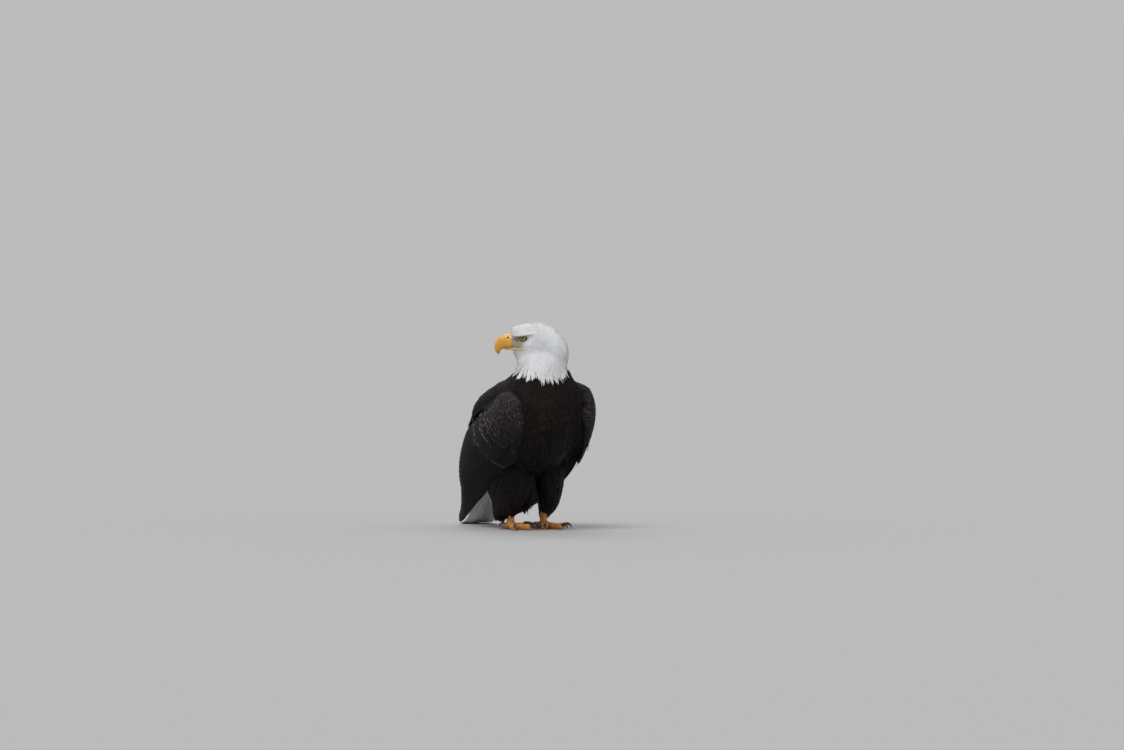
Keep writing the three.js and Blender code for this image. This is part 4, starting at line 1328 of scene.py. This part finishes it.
for name, side in SIDES.items():
    flight = Coat()
    # Primaries from the outermost, which lies innermost along the lower edge.
    share = np.linspace(0, 1, PRIMARIES)
    u = np.full(PRIMARIES, PRIMARY_START)
    v = 0.07 + 0.33 * share
    tips = 0.995 - 0.2 * share**1.15
    length = np.array([wing_reach(PRIMARY_START, tip, low, side) for tip, low in zip(tips, v)])
    add_flight(flight, name, side, u, v, length, 15 * MM, 0.0, -0.8 + 1.0 * share,
               tinted(PRIMARIES, FLIGHT_TINT, 0.1), 0.12)
    # Secondaries and tertials, each higher one over the last.
    share = np.linspace(0, 1, SECONDARIES)
    u = np.full(SECONDARIES, SECONDARY_START)
    v = 0.3 + 0.62 * share
    length = (250 - 85 * share) * MM
    add_flight(flight, name, side, u, v, length, (19 + 3 * share) * MM, 2 + 3 * share, 0.1 + 0.75 * share,
               tinted(SECONDARIES, FLIGHT_TINT * 1.15, 0.1), 0.2)
    flight.piece(f"wing_{name}_flight", DARK, "feather_dark",
                 f"wing_{name}_secondaries", f"wing_{name}_primaries")

    coverts = Coat()
    # Primary coverts: narrow, along the lower edge.
    share = np.linspace(0, 1, PRIMARY_COVERTS)
    v = 0.06 + 0.2 * share
    shafts, normals = on_wing(side, 0.25 + 0.05 * share, v, 88 * MM, 0, 12, 0.4 + 0.5 * share)
    coverts.add(shafts, normals, 9.5 * MM, "covert", tinted(PRIMARY_COVERTS, FLIGHT_TINT * 1.2, 0.1),
                wing_chart(name, 0.3 + 0 * share, v), 7, 0.3, 0.1, 0.25)
    # Each row is laid twice, with the second set between the feathers of the first and over them.
    for root, low, high, count, length, width, slant, edge in COVERT_ROWS:
        uneven = min(1, 36 / length)  # the small ones vary more
        tone = WING_TINT + (WING_TINT * 0.7) * smoothstep(0.3, 0.1, root)
        for upper in (0, 0.5):
            v = low + (high - low) * (np.arange(count) + upper + rng.uniform(-0.15, 0.15, count)) / count
            skew = COVERT_SKEW * smoothstep(0.05, 0.25, root) * (v - 0.5)
            u = root + skew - 0.35 * upper * length / WING_LENGTH + rng.normal(0, 0.003, count)
            u = np.maximum(u, 0.005)
            each = length * MM * rng.uniform(0.93, 1.08, count)
            swing = slant + rng.normal(0, 5, count) * uneven
            shafts, normals = on_wing(side, u, v, each, swing, 10, 1.0, 2.5 * MM, (1.2 - upper) * MM)
            half = width * MM * rng.uniform(0.82, 1.1, count)
            tint = tinted(count, tone, 0.08 + 0.12 * uneven)
            pale = edge * worn(u, v) * rng.uniform(0.2, 1.15, count) ** 1.5
            coverts.add(shafts, normals, half, "covert", tint, wing_chart(name, u, v), 5, 0.3, 0.2, pale,
                        ragged=0.05)
    # Small feathers round the leading edge, over the roots of the rest.
    for column, low in enumerate(LEADING_COLUMNS):
        count = 34 - 4 * column
        u = np.linspace(0.36, 0.004, count) + rng.normal(0, 0.003, count)
        u = np.clip(u, 0.002, 0.99)
        v = low + rng.uniform(0, 0.02, count)
        each = (21 + 2 * column) * MM * rng.uniform(0.9, 1.1, count)
        swing = 10 + rng.normal(0, 4, count)
        shafts, normals = on_wing(side, u, v, each, swing, 8, 1.0, 1.5 * MM, 0.9 * MM)
        tint = tinted(count, WING_TINT, 0.12)
        pale = rng.uniform(0, 0.3, count) * worn(u, v)
        coverts.add(shafts, normals, (4.6 + 0.4 * column) * MM, "covert", tint, wing_chart(name, u, v), 5,
                    0.5, 0.2, pale, ragged=0.05)
    coverts.piece(f"wing_{name}_coverts", DARK, "feather_dark")

# ---------- Thumb feathers ----------

# The line of the thumb feathers down the wing's front, and the way out from them, in the bird frame.
ALULA = {
    "left": [(108, -141, 322), (117, -139, 292), (123, -131, 252), (126, -119, 214), (117, -103, 171)],
    "right": [(-112, -146, 322), (-118, -146, 292), (-113, -138, 252), (-104, -126, 214), (-94, -108, 176)],
}
ALULA_OUT = {"left": (1, -0.75, 0.1), "right": (-0.55, -0.75, 0.1)}
# Where each of the three feathers starts and ends along that line, and its half-width in millimetres.
ALULA_FEATHERS = ((0.05, 0.42, 5), (0.08, 0.6, 6), (0.1, 0.8, 6.5))

for name in SIDES:
    alula = Coat()
    line = curve(ALULA[name])
    out = unit(np.array(ALULA_OUT[name]))
    for k, (start, end, width) in enumerate(ALULA_FEATHERS):
        shafts = (in_bird(line(np.linspace(start, end, 14))) - out * (0.5 + 2.0 * k) * MM)[None]
        normals = np.broadcast_to(out, shafts.shape)
        chart = wing_chart(name, np.array([0.12 + 0.02 * k]), np.array([0.04]))
        tint = tinted(1, WING_TINT, 0.1)
        alula.add(shafts, normals, width * MM, "covert", tint, chart, 7, 0.35, 0.08, 0.12)
    alula.piece(f"wing_{name}_thumb", DARK, "feather_dark", f"wing_{name}_alula")

# ---------- Tail ----------

# The tail's middle line from its root to its tip, in the bird frame, and its half-widths at both ends.
TAIL_LINE = curve([(0, 128, 192), (0, 198, 112), (0, 252, 48), (0, 286, 13), (0, 312, 3.4), (0, 334, 0.6)])
TAIL_ROOT = 24
TAIL_TIP = 50
TAIL_FEATHERS = 12
TAIL_FEATHER_HALF = 12


def over_tail(t, spread, stack):
    """Shafts along the tail's line, moved aside by spread and up by stack, and the way up there."""
    middle = TAIL_LINE(t)
    up = np.cross(unit(np.gradient(middle, axis=1)), [1, 0, 0])
    up = up * np.sign(up[..., 2:])
    return in_bird(middle + spread[..., None] * np.array([1, 0, 0]) + up * stack[..., None]), up


tail = Coat()
k = np.arange(TAIL_FEATHERS)
across = (k + 0.5) / TAIL_FEATHERS * 2 - 1
reach = 1 - 0.07 * across**2 - 0.012 * (k % 2)
t = np.linspace(0.18, 1, 26)[None] * reach[:, None]
fan = TAIL_ROOT + (TAIL_TIP - TAIL_ROOT) * np.sqrt(t)
spread = across[:, None] * (fan - TAIL_FEATHER_HALF * 0.5)
stack = (1.8 - 4.0 * np.abs(across))[:, None] * (1 - 0.8 * t)  # the middle feathers lie over the outer ones
stack = stack + (9 * (1 - across[:, None] ** 2) - 5) * (1 - t)
shafts, up = over_tail(t, spread, stack)
shafts[..., 2] = np.maximum(shafts[..., 2], 0.8 * MM)
for half, side in ((across < 0, -1), (across > 0, 1)):
    tint = tinted(half.sum(), WHITE_TINT * 0.9, 0.04)
    chart = on_chart("tail", (across[half] + 1) / 2, 0.2 + 0 * across[half])
    tail.add(shafts[half], up[half], TAIL_FEATHER_HALF * MM, "tail", tint, chart, 9, 0.1, 0.05, 0.3,
             roll=4 * side, lean=0.2 * side, quill=0.6 * MM, ragged=0.01)
# Long coverts over the tail's root, in three rows, the highest last: how many, start and length.
for row, (count, start, length) in enumerate(((13, 0.3, 0.26), (12, 0.24, 0.25), (11, 0.18, 0.23))):
    across = (np.arange(count) + 0.5) / count * 2 - 1
    t = (start + rng.uniform(-0.03, 0.03, count))[:, None] + np.linspace(0, length, 14)[None]
    spread = across[:, None] * (TAIL_ROOT + 3 + (TAIL_TIP - TAIL_ROOT) * np.sqrt(t) - 9)
    arch = 1 - across[:, None] ** 2
    shafts, up = over_tail(t, spread, (5 + 2.4 * row) * arch + 10 * (1 - t) * arch)
    tint = tinted(count, WHITE_TINT * 0.92, 0.04)
    chart = on_chart("tail", (across + 1) / 2, 0.5 + 0 * across)
    tail.add(shafts, up, 8.5 * MM, "lance", tint, chart, 7, 0.3, 0.12, 0.2, quill=0.4 * MM, ragged=0.03)
tail.piece("tail_feathers", WHITE, "feather_white", "tail")

# ---------- Bill ----------

# Each half's middle line in the head frame, and its half-widths across and up.
UPPER_BILL = curve(
    [(20, 0, -8.2), (33, 0, -7.2), (46, 0, -8.9), (57.5, 0, -13.5), (65.5, 0, -22), (68, 0, -33),
     (65.5, 0, -43.5)]
)
UPPER_SIZE = sizes_at(
    [[0, 13, 14.4], [0.18, 15, 18.2], [0.38, 12.8, 17.4], [0.56, 10.2, 15.2], [0.72, 7.6, 11],
     [0.87, 4.6, 6.2], [1, 0.7, 0.8]]
)
LOWER_BILL = curve([(14, 0, -28), (30, 0, -28), (45, 0, -26.8), (58, 0, -25.4)])
LOWER_SIZE = sizes_at([[0, 12, 5], [0.35, 10.5, 4.5], [0.75, 7, 3.7], [1, 3.6, 2.2]])
CERE_END = 0.335  # how far along the upper bill the cere reaches
CERE_SWELL = 0.035  # how much it stands out, as a share of the bill's half-width
HORN_TINT = np.array([0.76, 0.355, 0.035])
CERE_TINT = np.array([0.77, 0.42, 0.065])
NOSTRIL = (42.0, 0.8)
NOSTRIL_DEPTH = 3.6


def bill_section(angle, t):
    """Rounded above, a little narrower along the ridge, and square at the cutting edges below."""
    c, s = np.cos(angle), np.sin(angle)
    power = np.where(s > 0, 2.2, 3.2)
    side = np.sign(c) * np.abs(c) ** (2 / power)
    rise = np.sign(s) * np.abs(s) ** (2 / power)
    return side * (1 - 0.14 * np.maximum(0, rise) ** 2), rise


rings, t, angle = tube(UPPER_BILL, (0, 1, 0), UPPER_SIZE, 120, 80, bill_section)
middle = UPPER_BILL(t)[:, None]
curl = 0.035 * np.sin(angle)[None]  # the cere reaches further forward along the ridge
cere = smoothstep(CERE_END + 0.012, CERE_END - 0.012, t[:, None] - curl)[..., None]
rings = middle + (rings - middle) * (1 + CERE_SWELL * cere)
x, y, z = np.moveaxis(rings, -1, 0)
slot_x = x - NOSTRIL[0]
slot_z = z - NOSTRIL[1]
nostril = bell(0.88 * slot_x - 0.48 * slot_z, 4.2) * bell(0.48 * slot_x + 0.88 * slot_z, 1.9)
nostril = nostril * (np.abs(y) > 4)
rings[..., 1] -= np.sign(y) * NOSTRIL_DEPTH * nostril
tint = HORN_TINT + cere * (CERE_TINT - HORN_TINT)
# Painted shade: the nostril's hollow is darkened nearly to black, as the open hole would be in shade.
tint = tint * (1 - 0.95 * smoothstep(0.3, 0.6, nostril))[..., None]
tint = tint * (1 - 0.25 * smoothstep(0.8, 1.0, t)[:, None, None])
tube_piece("bill_upper_horn", rings, in_head, tint, HORN, "bill_horn", "bill_upper")

rings, t, _ = tube(LOWER_BILL, (0, 1, 0), LOWER_SIZE, 50, 48, bill_section)
tint = CERE_TINT + smoothstep(0.3, 0.7, t)[:, None, None] * (HORN_TINT - CERE_TINT)
tube_piece("bill_lower_horn", rings, in_head, tint, HORN, "bill_horn", "bill_lower")

# ---------- Eyes ----------

EYE_FORWARD = math.radians(14)  # how far the eyes look ahead
EYE_RINGS = 96
EYE_SIDES = 72
IRIS = 0.72  # where the iris ends, in radians from the middle of the pupil
PUPIL = 0.33
PUPIL_TINT = np.array([0.001, 0.001, 0.001])
IRIS_TINT = np.array([0.47, 0.37, 0.13])
RIM_TINT = np.array([0.03, 0.02, 0.01])
EDGE_TINT = np.array([0.01, 0.01, 0.01])  # the eyeball outside the iris
LID_TINT = np.array([0.03, 0.026, 0.024])
LID_RINGS = 14

for name, side in SIDES.items():
    look = unit(math.cos(EYE_FORWARD) * side * HEAD_LEFT + math.sin(EYE_FORWARD) * HEAD_FRONT)
    across = unit(np.cross(HEAD_UP, look))
    top = np.cross(look, across)
    polar = np.linspace(0.01, math.pi - 0.01, EYE_RINGS)[:, None, None]
    turn = np.arange(EYE_SIDES) / EYE_SIDES * 2 * math.pi
    ring = np.cos(turn)[:, None] * across + np.sin(turn)[:, None] * top
    rings = EYES[side] + EYE_RADIUS * (np.cos(polar) * look + np.sin(polar) * ring[None])
    streaks = 1 + 0.12 * np.sin(turn * 23) + 0.08 * np.sin(turn * 37 + 1)
    tint = np.where(polar < PUPIL, PUPIL_TINT, IRIS_TINT * streaks[None, :, None])
    tint = tint + smoothstep(IRIS - 0.1, IRIS, polar) * (RIM_TINT - tint)
    tint = np.where(polar > IRIS + 0.04, EDGE_TINT, tint)
    tube_piece(f"eye_{name}_ball", rings, np.asarray, tint, EYE, "eye", f"eye_{name}")

    # Lids: a band round the opening, flatter above, from just over the eyeball back to the face.
    band = np.linspace(0, 1, LID_RINGS)[:, None]
    corners = np.abs(np.cos(turn)) ** 6
    opening = 0.66 - 0.12 * np.maximum(0, np.sin(turn)) ** 2 + 0.09 * corners
    reach = (opening[None] + band * 0.4)[..., None]
    height = EYE_RADIUS * (1.03 + 0.075 * np.sin(np.pi * np.minimum(1, band * 1.7)) - 0.05 * band)
    lids = EYES[side] + height[..., None] * (np.cos(reach) * look + np.sin(reach) * ring[None])
    lid = new_object(f"lids_{name}", lids.reshape(-1, 3), grid_faces(LID_RINGS, EYE_SIDES, True)[:, ::side])
    tint = LID_TINT + smoothstep(0.22, 0.6, band)[..., None] * (LORE_TINT - 0.06)
    set_colours(lid, np.broadcast_to(tint, lids.shape).reshape(-1, 3))
    dress(lid, LIDS, "feather_white")

# ---------- Brows and gape ----------

# The middle of the left brow in the head frame, from the lore back, and its radius along it.
BROW_LINE = curve(
    [(31, 18.5, 5.0), (24, 24.5, 5.9), (14, 29.3, 6.9), (3, 32.4, 8.1), (-8, 34.2, 9.3), (-20, 35.8, 10.8),
     (-31, 36.6, 12.5)]
)
BROW_SIZE = sizes_at([[0, 0.6], [0.17, 2.2], [0.33, 3.2], [0.5, 3.9], [0.67, 3.5], [0.83, 2.3], [1, 0.6]])
BROW_ACROSS = np.array([1.15, 0.9])  # its half-widths outwards and up, for its radius
BROW_TOP = np.array([0.72, 0.72, 0.72])
# Painted shade on the underside of the brow's ridge.
PAINTED_BROW_SHADE = np.array([0.16, 0.14, 0.10])
BROW_FEATHERS = 640
GAPE_TINT = np.array([0.72, 0.57, 0.24])
GAPE_POINTS = 24
# Each lip of the gape: how far below the gape's line it runs, its radius and where it ends at the back.
LIPS = {"upper": (0.0, 1.25, -8), "lower": (-1.9, 1.0, -5)}


def brow_piece(name, side, feathers):
    """A brow's ridge, pale above with painted shade below, and the feathers on its outer face."""
    mirror = np.array([1, side, 1])
    rings, t, _ = tube(lambda t: BROW_LINE(t) * mirror, (0, side, 0),
                       lambda t: BROW_SIZE(t) * BROW_ACROSS, 60, 28)
    # Painted shade: the ridge's underside is darkened where its own shade falls.
    under = smoothstep(0.1, -0.6, (rings[..., 2] - BROW_LINE(t)[:, None, 2]) / BROW_SIZE(t))
    tint = BROW_TOP + under[..., None] * (PAINTED_BROW_SHADE - BROW_TOP)
    tube_piece(f"brow_{name}", rings, in_head, tint, LIDS, "feather_white")

    start = rng.uniform(0.0, 0.85, BROW_FEATHERS)
    height = rng.uniform(-0.3, 1.25, BROW_FEATHERS)  # from the lower edge of the outer face up to the top
    steps = start[:, None] + np.linspace(0, 0.14, 5)[None]
    angle = (height * math.pi / 2)[:, None, None]
    normal = np.cos(angle) * np.array([0, side, 0]) + np.sin(angle) * np.array([0, 0, 1])
    normal = np.broadcast_to(unit(normal), (*steps.shape, 3))
    size = BROW_SIZE(steps) * np.array([0, *BROW_ACROSS])
    points = BROW_LINE(steps) * mirror + normal * size + normal * np.linspace(-0.4, 0.9, 5)[None, :, None]
    places = in_head(points)
    feathers.add(places, normal @ HEAD_AXES, 0.85 * MM, "down", tinted(BROW_FEATHERS, WHITE_TINT, 0.035),
                 body_bake(places[:, 0]), 3, 0.2, 0.25, 0.3, ragged=0.1)


def lip_piece(lip, name, side):
    """A lip of the gape, from the bill back to the corner below the eye."""
    drop, radius, back = LIPS[lip]
    x = np.linspace(34, back, GAPE_POINTS)
    height = GAPE_LINE(x)[:, 0] + drop
    guess = in_head(np.stack([x, np.full(GAPE_POINTS, side * 34.0), height], axis=-1))
    line = of_head(outer.nearest(guess)[0])
    line[:, 2] = height
    line[:, 1] -= side * 0.5
    line[0] = (38.5, side * 10, GAPE_LINE(36)[0] + drop)
    shares = np.linspace(0, 1, GAPE_POINTS)
    thick = radius * smoothstep(0, 0.15, shares[::-1])

    def sizes(t):
        return np.interp(t, shares, thick)[:, None] * np.array([0.9, 1]) + 0.15

    rings, _, _ = tube(curve(line), (0, 1, 0), sizes, 60, 16)
    tube_piece(f"gape_{lip}_{name}", rings, in_head, GAPE_TINT, LIDS, "bill_horn")


brow_feathers = Coat()
for name, side in SIDES.items():
    brow_piece(name, side, brow_feathers)
    for lip in LIPS:
        lip_piece(lip, name, side)
brow_feathers.piece("brow_feathers", WHITE, "feather_white")

# ---------- Feet ----------

FOOT_SPREAD = 48.5
FOOT_TURN = {"left": 16, "right": 20}
FOOT_SIDES = 24
TOE_RADIUS = 9
SOLE_SINK = 1.6  # how far the toes' rounded undersides would reach below the floor
TOE_RISE = [(0, 4), (0.3, 1.5), (0.65, 0), (0.92, 0), (1.06, 0.5)]  # shares of a toe's length, and heights
# Angle out from the middle toe, length, thickness and claw's length.
TOES = {
    "hind": (200, 38, 1.06, 38),
    "inner": (-38, 50, 1.02, 35),
    "middle": (0, 72, 1, 31),
    "outer": (36, 56, 0.92, 27),
}
CLAW_START = 0.97  # where a claw starts, as a share of its toe's length
CLAW_RISE = [(-0.16, 8.2), (0.16, 12.2), (0.46, 13.4), (0.72, 9.6), (0.86, 1.8)]
SHANK = np.array([(0, 1, 9), (0, 0, 32), (0, -1, 58), (0, 8, 105)])
SHANK_LENGTH = 100
FOOT_VOXEL = 1.15 * MM
SHANK_SIZE = sizes_at([[0, 12, 12.5], [0.25, 9.2, 10.8], [0.6, 8.5, 10], [1, 10, 12]])
AXIS_POINTS = 60
SCUTE_LENGTH = 4.6
FOOT_TINT = np.array([0.66, 0.27, 0.062])
CLAW_TINT = np.array([0.016, 0.015, 0.015])


def ways_at(angle):
    """The level way at an angle, in degrees, from straight ahead, and the way across it."""
    angle = math.radians(angle)
    return (
        np.array([math.sin(angle), -math.cos(angle), 0]),
        np.array([math.cos(angle), math.sin(angle), 0]),
    )


def run_out(start, way, length, rise):
    """A curve from a start along a way, through shares of a length and the heights there."""
    return curve([start + way * length * share + np.array([0, 0, height]) for share, height in rise])


def toe_sizes(thick, length):
    """A toe's half-widths: pads along it, and a rounded end."""
    pads = round(length / 20)

    def sizes(t):
        swell = 1 + 0.1 * np.cos(2 * np.pi * pads * (t - 0.93))
        end = np.sqrt(np.clip(1 - ((t - 0.86) / 0.142) ** 2, 0.03, 1)) * (t > 0.86) + (t <= 0.86)
        radius = TOE_RADIUS * thick * swell * end * (1 - 0.14 * t)
        return np.stack([radius * 0.97, radius], axis=-1)

    return sizes


def ball_sizes(t):
    """The half-widths of the ball between the toes."""
    return 13.2 * np.sqrt(np.clip(1 - (1.9 * t - 0.95) ** 2, 0.02, 1))[:, None] * np.ones(2)


def claw_sizes(thick):
    """A claw's half-widths, down to its point."""

    def sizes(t):
        radius = 6.2 * thick * (1 - t) ** 0.8 + 0.3
        return np.stack([radius * 0.82, radius], axis=-1)

    return sizes


def on_floor(points):
    """Points of the bird frame in the row frame, none of them below the floor."""
    places = in_bird(points)
    places[:, 2] = np.maximum(places[:, 2], 0)
    return places


def scutes(points, normals, axes):
    """For points in millimetres on the foot: how far they are on a scute and on the grainy skin between,
    and how deep they are in the grooves, from 0 to 1."""
    nearest = np.full(len(points), 1e9)
    place = np.zeros(len(points))
    top = np.zeros(len(points))
    for k, (axis, length) in enumerate(axes):
        gaps = np.linalg.norm(points[:, None] - axis[None], axis=-1)
        closer = gaps.min(axis=1) < nearest
        nearest = np.where(closer, gaps.min(axis=1), nearest)
        place = np.where(closer, gaps.argmin(axis=1) / (AXIS_POINTS - 1) * length, place)
        top = np.where(closer, normals[:, 2] if k < len(TOES) else -normals[:, 1], top)
    band = np.abs(((place / SCUTE_LENGTH) % 1) - 0.5) * 2
    scute = smoothstep(0.1, 0.5, top) * smoothstep(1.0, 0.75, band)
    grains = wobble(points * MM, 1.5 * MM, 5) * smoothstep(0.4, 0.0, top)
    return scute, grains, smoothstep(0.85, 1.0, band) * smoothstep(0.1, 0.4, top)


def foot_piece(name, side):
    """A bare shank and foot as one skin, with scutes along the toes' tops and down the shank's front."""
    ankle = np.array([side * FOOT_SPREAD, 0, 0])
    tubes = []
    for angle, length, thick, _ in TOES.values():
        low = TOE_RADIUS * thick - SOLE_SINK
        way, across = ways_at(FOOT_TURN[name] + side * angle)
        line = run_out(ankle, way, length, [(share, low + rise) for share, rise in TOE_RISE])
        tubes.append((line, across, toe_sizes(thick, length), 40, length))
    tubes.append((curve(ankle + SHANK), (1, 0, 0), SHANK_SIZE, 40, SHANK_LENGTH))
    tubes.append((curve([ankle + (0, 0, 3), ankle + (0, 0, 24)]), (1, 0, 0), ball_sizes, 20, 0))
    parts = []
    faces = []
    first = 0
    for line, across, sizes, rings, _ in tubes:
        parts.append(tube(line, across, sizes, rings, FOOT_SIDES)[0].reshape(-1, 3))
        faces.append(tube_faces(rings, FOOT_SIDES, first))
        first += rings * FOOT_SIDES
    vertices = np.vstack(parts) * MM
    foot = Surface(*remeshed(vertices, facing_out(vertices, np.vstack(faces)), FOOT_VOXEL))
    foot.smooth(6)
    points = foot.vertices / MM
    axes = [(line(np.linspace(0, 1, AXIS_POINTS)), length) for line, _, _, _, length in tubes[:-1]]
    scute, grains, groove = scutes(points, foot.normals, axes)
    above_sole = smoothstep(1.5, 4, points[:, 2])
    points = points + foot.normals * ((0.55 * scute + 0.22 * grains - 0.3) * above_sole)[:, None]
    points[:, 2] = np.maximum(points[:, 2], 0)
    thing = new_object(f"foot_{name}_skin", in_bird(points), foot.quads)
    tint = FOOT_TINT * (0.82 + 0.2 * scute + 0.08 * grains)[:, None]
    set_colours(thing, tint * (1 - 0.35 * groove)[:, None])
    dress(thing, SCALES, "foot_skin", f"foot_{name}", f"shank_{name}")

    for toe, (angle, length, thick, reach) in TOES.items():
        way, across = ways_at(FOOT_TURN[name] + side * angle)
        line = run_out(ankle + way * length * CLAW_START, way, reach, CLAW_RISE)
        rings, t, _ = tube(line, across, claw_sizes(thick), 40, FOOT_SIDES)
        tint = CLAW_TINT * (1 + 1.2 * (1 - t) ** 3)[:, None, None]
        claw = f"claw_{name}_{toe}"
        tube_piece(f"{claw}_horn", rings, on_floor, tint, CLAW, "claw_horn", claw)


for name, side in SIDES.items():
    foot_piece(name, side)

# ---------- Floor, light and camera ----------


FLOOR_TINT = 0.42
COOL = 1.01  # how much bluer than grey the floor and the air are
SUNS = [
    # From where (azimuth and height in degrees), strength, and how wide and so how soft.
    ("key", -58, 60, 1.5, 30),
    ("fill", 38, 32, 0.25, 60),
    ("back", 165, 50, 0.7, 40),
]

# The world is as bright as the lit floor, so that no horizon shows; the factor was set to make it so.
SUNSHINE = sum(strength * math.sin(math.radians(height)) for _, _, height, strength, _ in SUNS) / math.pi
AIR = 1.108 * FLOOR_TINT * SUNSHINE / (1 - FLOOR_TINT)

FLOOR_HALF = 400.0  # metres
FLOOR_DROP = 0.0003  # keeps the soles clear of the floor's face
CAMERA_AZIMUTH = -26.5
CAMERA_ELEVATION = 2
CAMERA_DISTANCE = 21.3
CAMERA_LENS = 257
FRAME_RIGHT = 92.6  # the frame's middle as seen from the bird frame's origin, in mm
FRAME_UP = 408.4


def way_to(azimuth, height):
    """The way out to an azimuth and a height, in degrees."""
    height = math.radians(height)
    return ways_at(azimuth)[0] * math.cos(height) + np.array([0, 0, math.sin(height)])


def placed(name, data, turn):
    """A light or camera in the scene, turned."""
    thing = bpy.data.objects.new(name, data)
    thing.rotation_euler = turn.to_euler()
    bpy.context.scene.collection.objects.link(thing)
    return thing


floor_material, _, floor_shader = material("floor", 1.0)
floor_shader.inputs["Base Color"].default_value = (FLOOR_TINT, FLOOR_TINT, FLOOR_TINT * COOL, 1)
floor_corners = np.array([(-1, -1, 0), (1, -1, 0), (1, 1, 0), (-1, 1, 0)])
floor = new_object("floor", floor_corners * FLOOR_HALF, [[0, 1, 2, 3]])
floor.location.z = -FLOOR_DROP
floor.data.materials.append(floor_material)

world = bpy.data.worlds.new("studio")
bpy.context.scene.world = world
world.use_nodes = True
world.node_tree.nodes["Background"].inputs[0].default_value = (AIR, AIR, AIR * COOL, 1)
for name, azimuth, height, strength, width in SUNS:
    lamp = bpy.data.lights.new(name, "SUN")
    lamp.energy = strength
    lamp.angle = math.radians(width)
    placed(name, lamp, Vector(way_to(azimuth, height)).to_track_quat("Z", "Y"))

towards = way_to(CAMERA_AZIMUTH, CAMERA_ELEVATION)
_, right = ways_at(CAMERA_AZIMUTH)
above = np.cross(towards, right)
lens = bpy.data.cameras.new("camera")
lens.lens = CAMERA_LENS
lens.sensor_width = 36
lens.clip_end = 200
camera = placed("camera", lens, Vector(-towards).to_track_quat("-Z", "Y"))
camera.location = ORIGIN + (right * FRAME_RIGHT + above * FRAME_UP) * MM + towards * CAMERA_DISTANCE
bpy.context.scene.camera = camera
bpy.context.scene.view_settings.view_transform = "Standard"
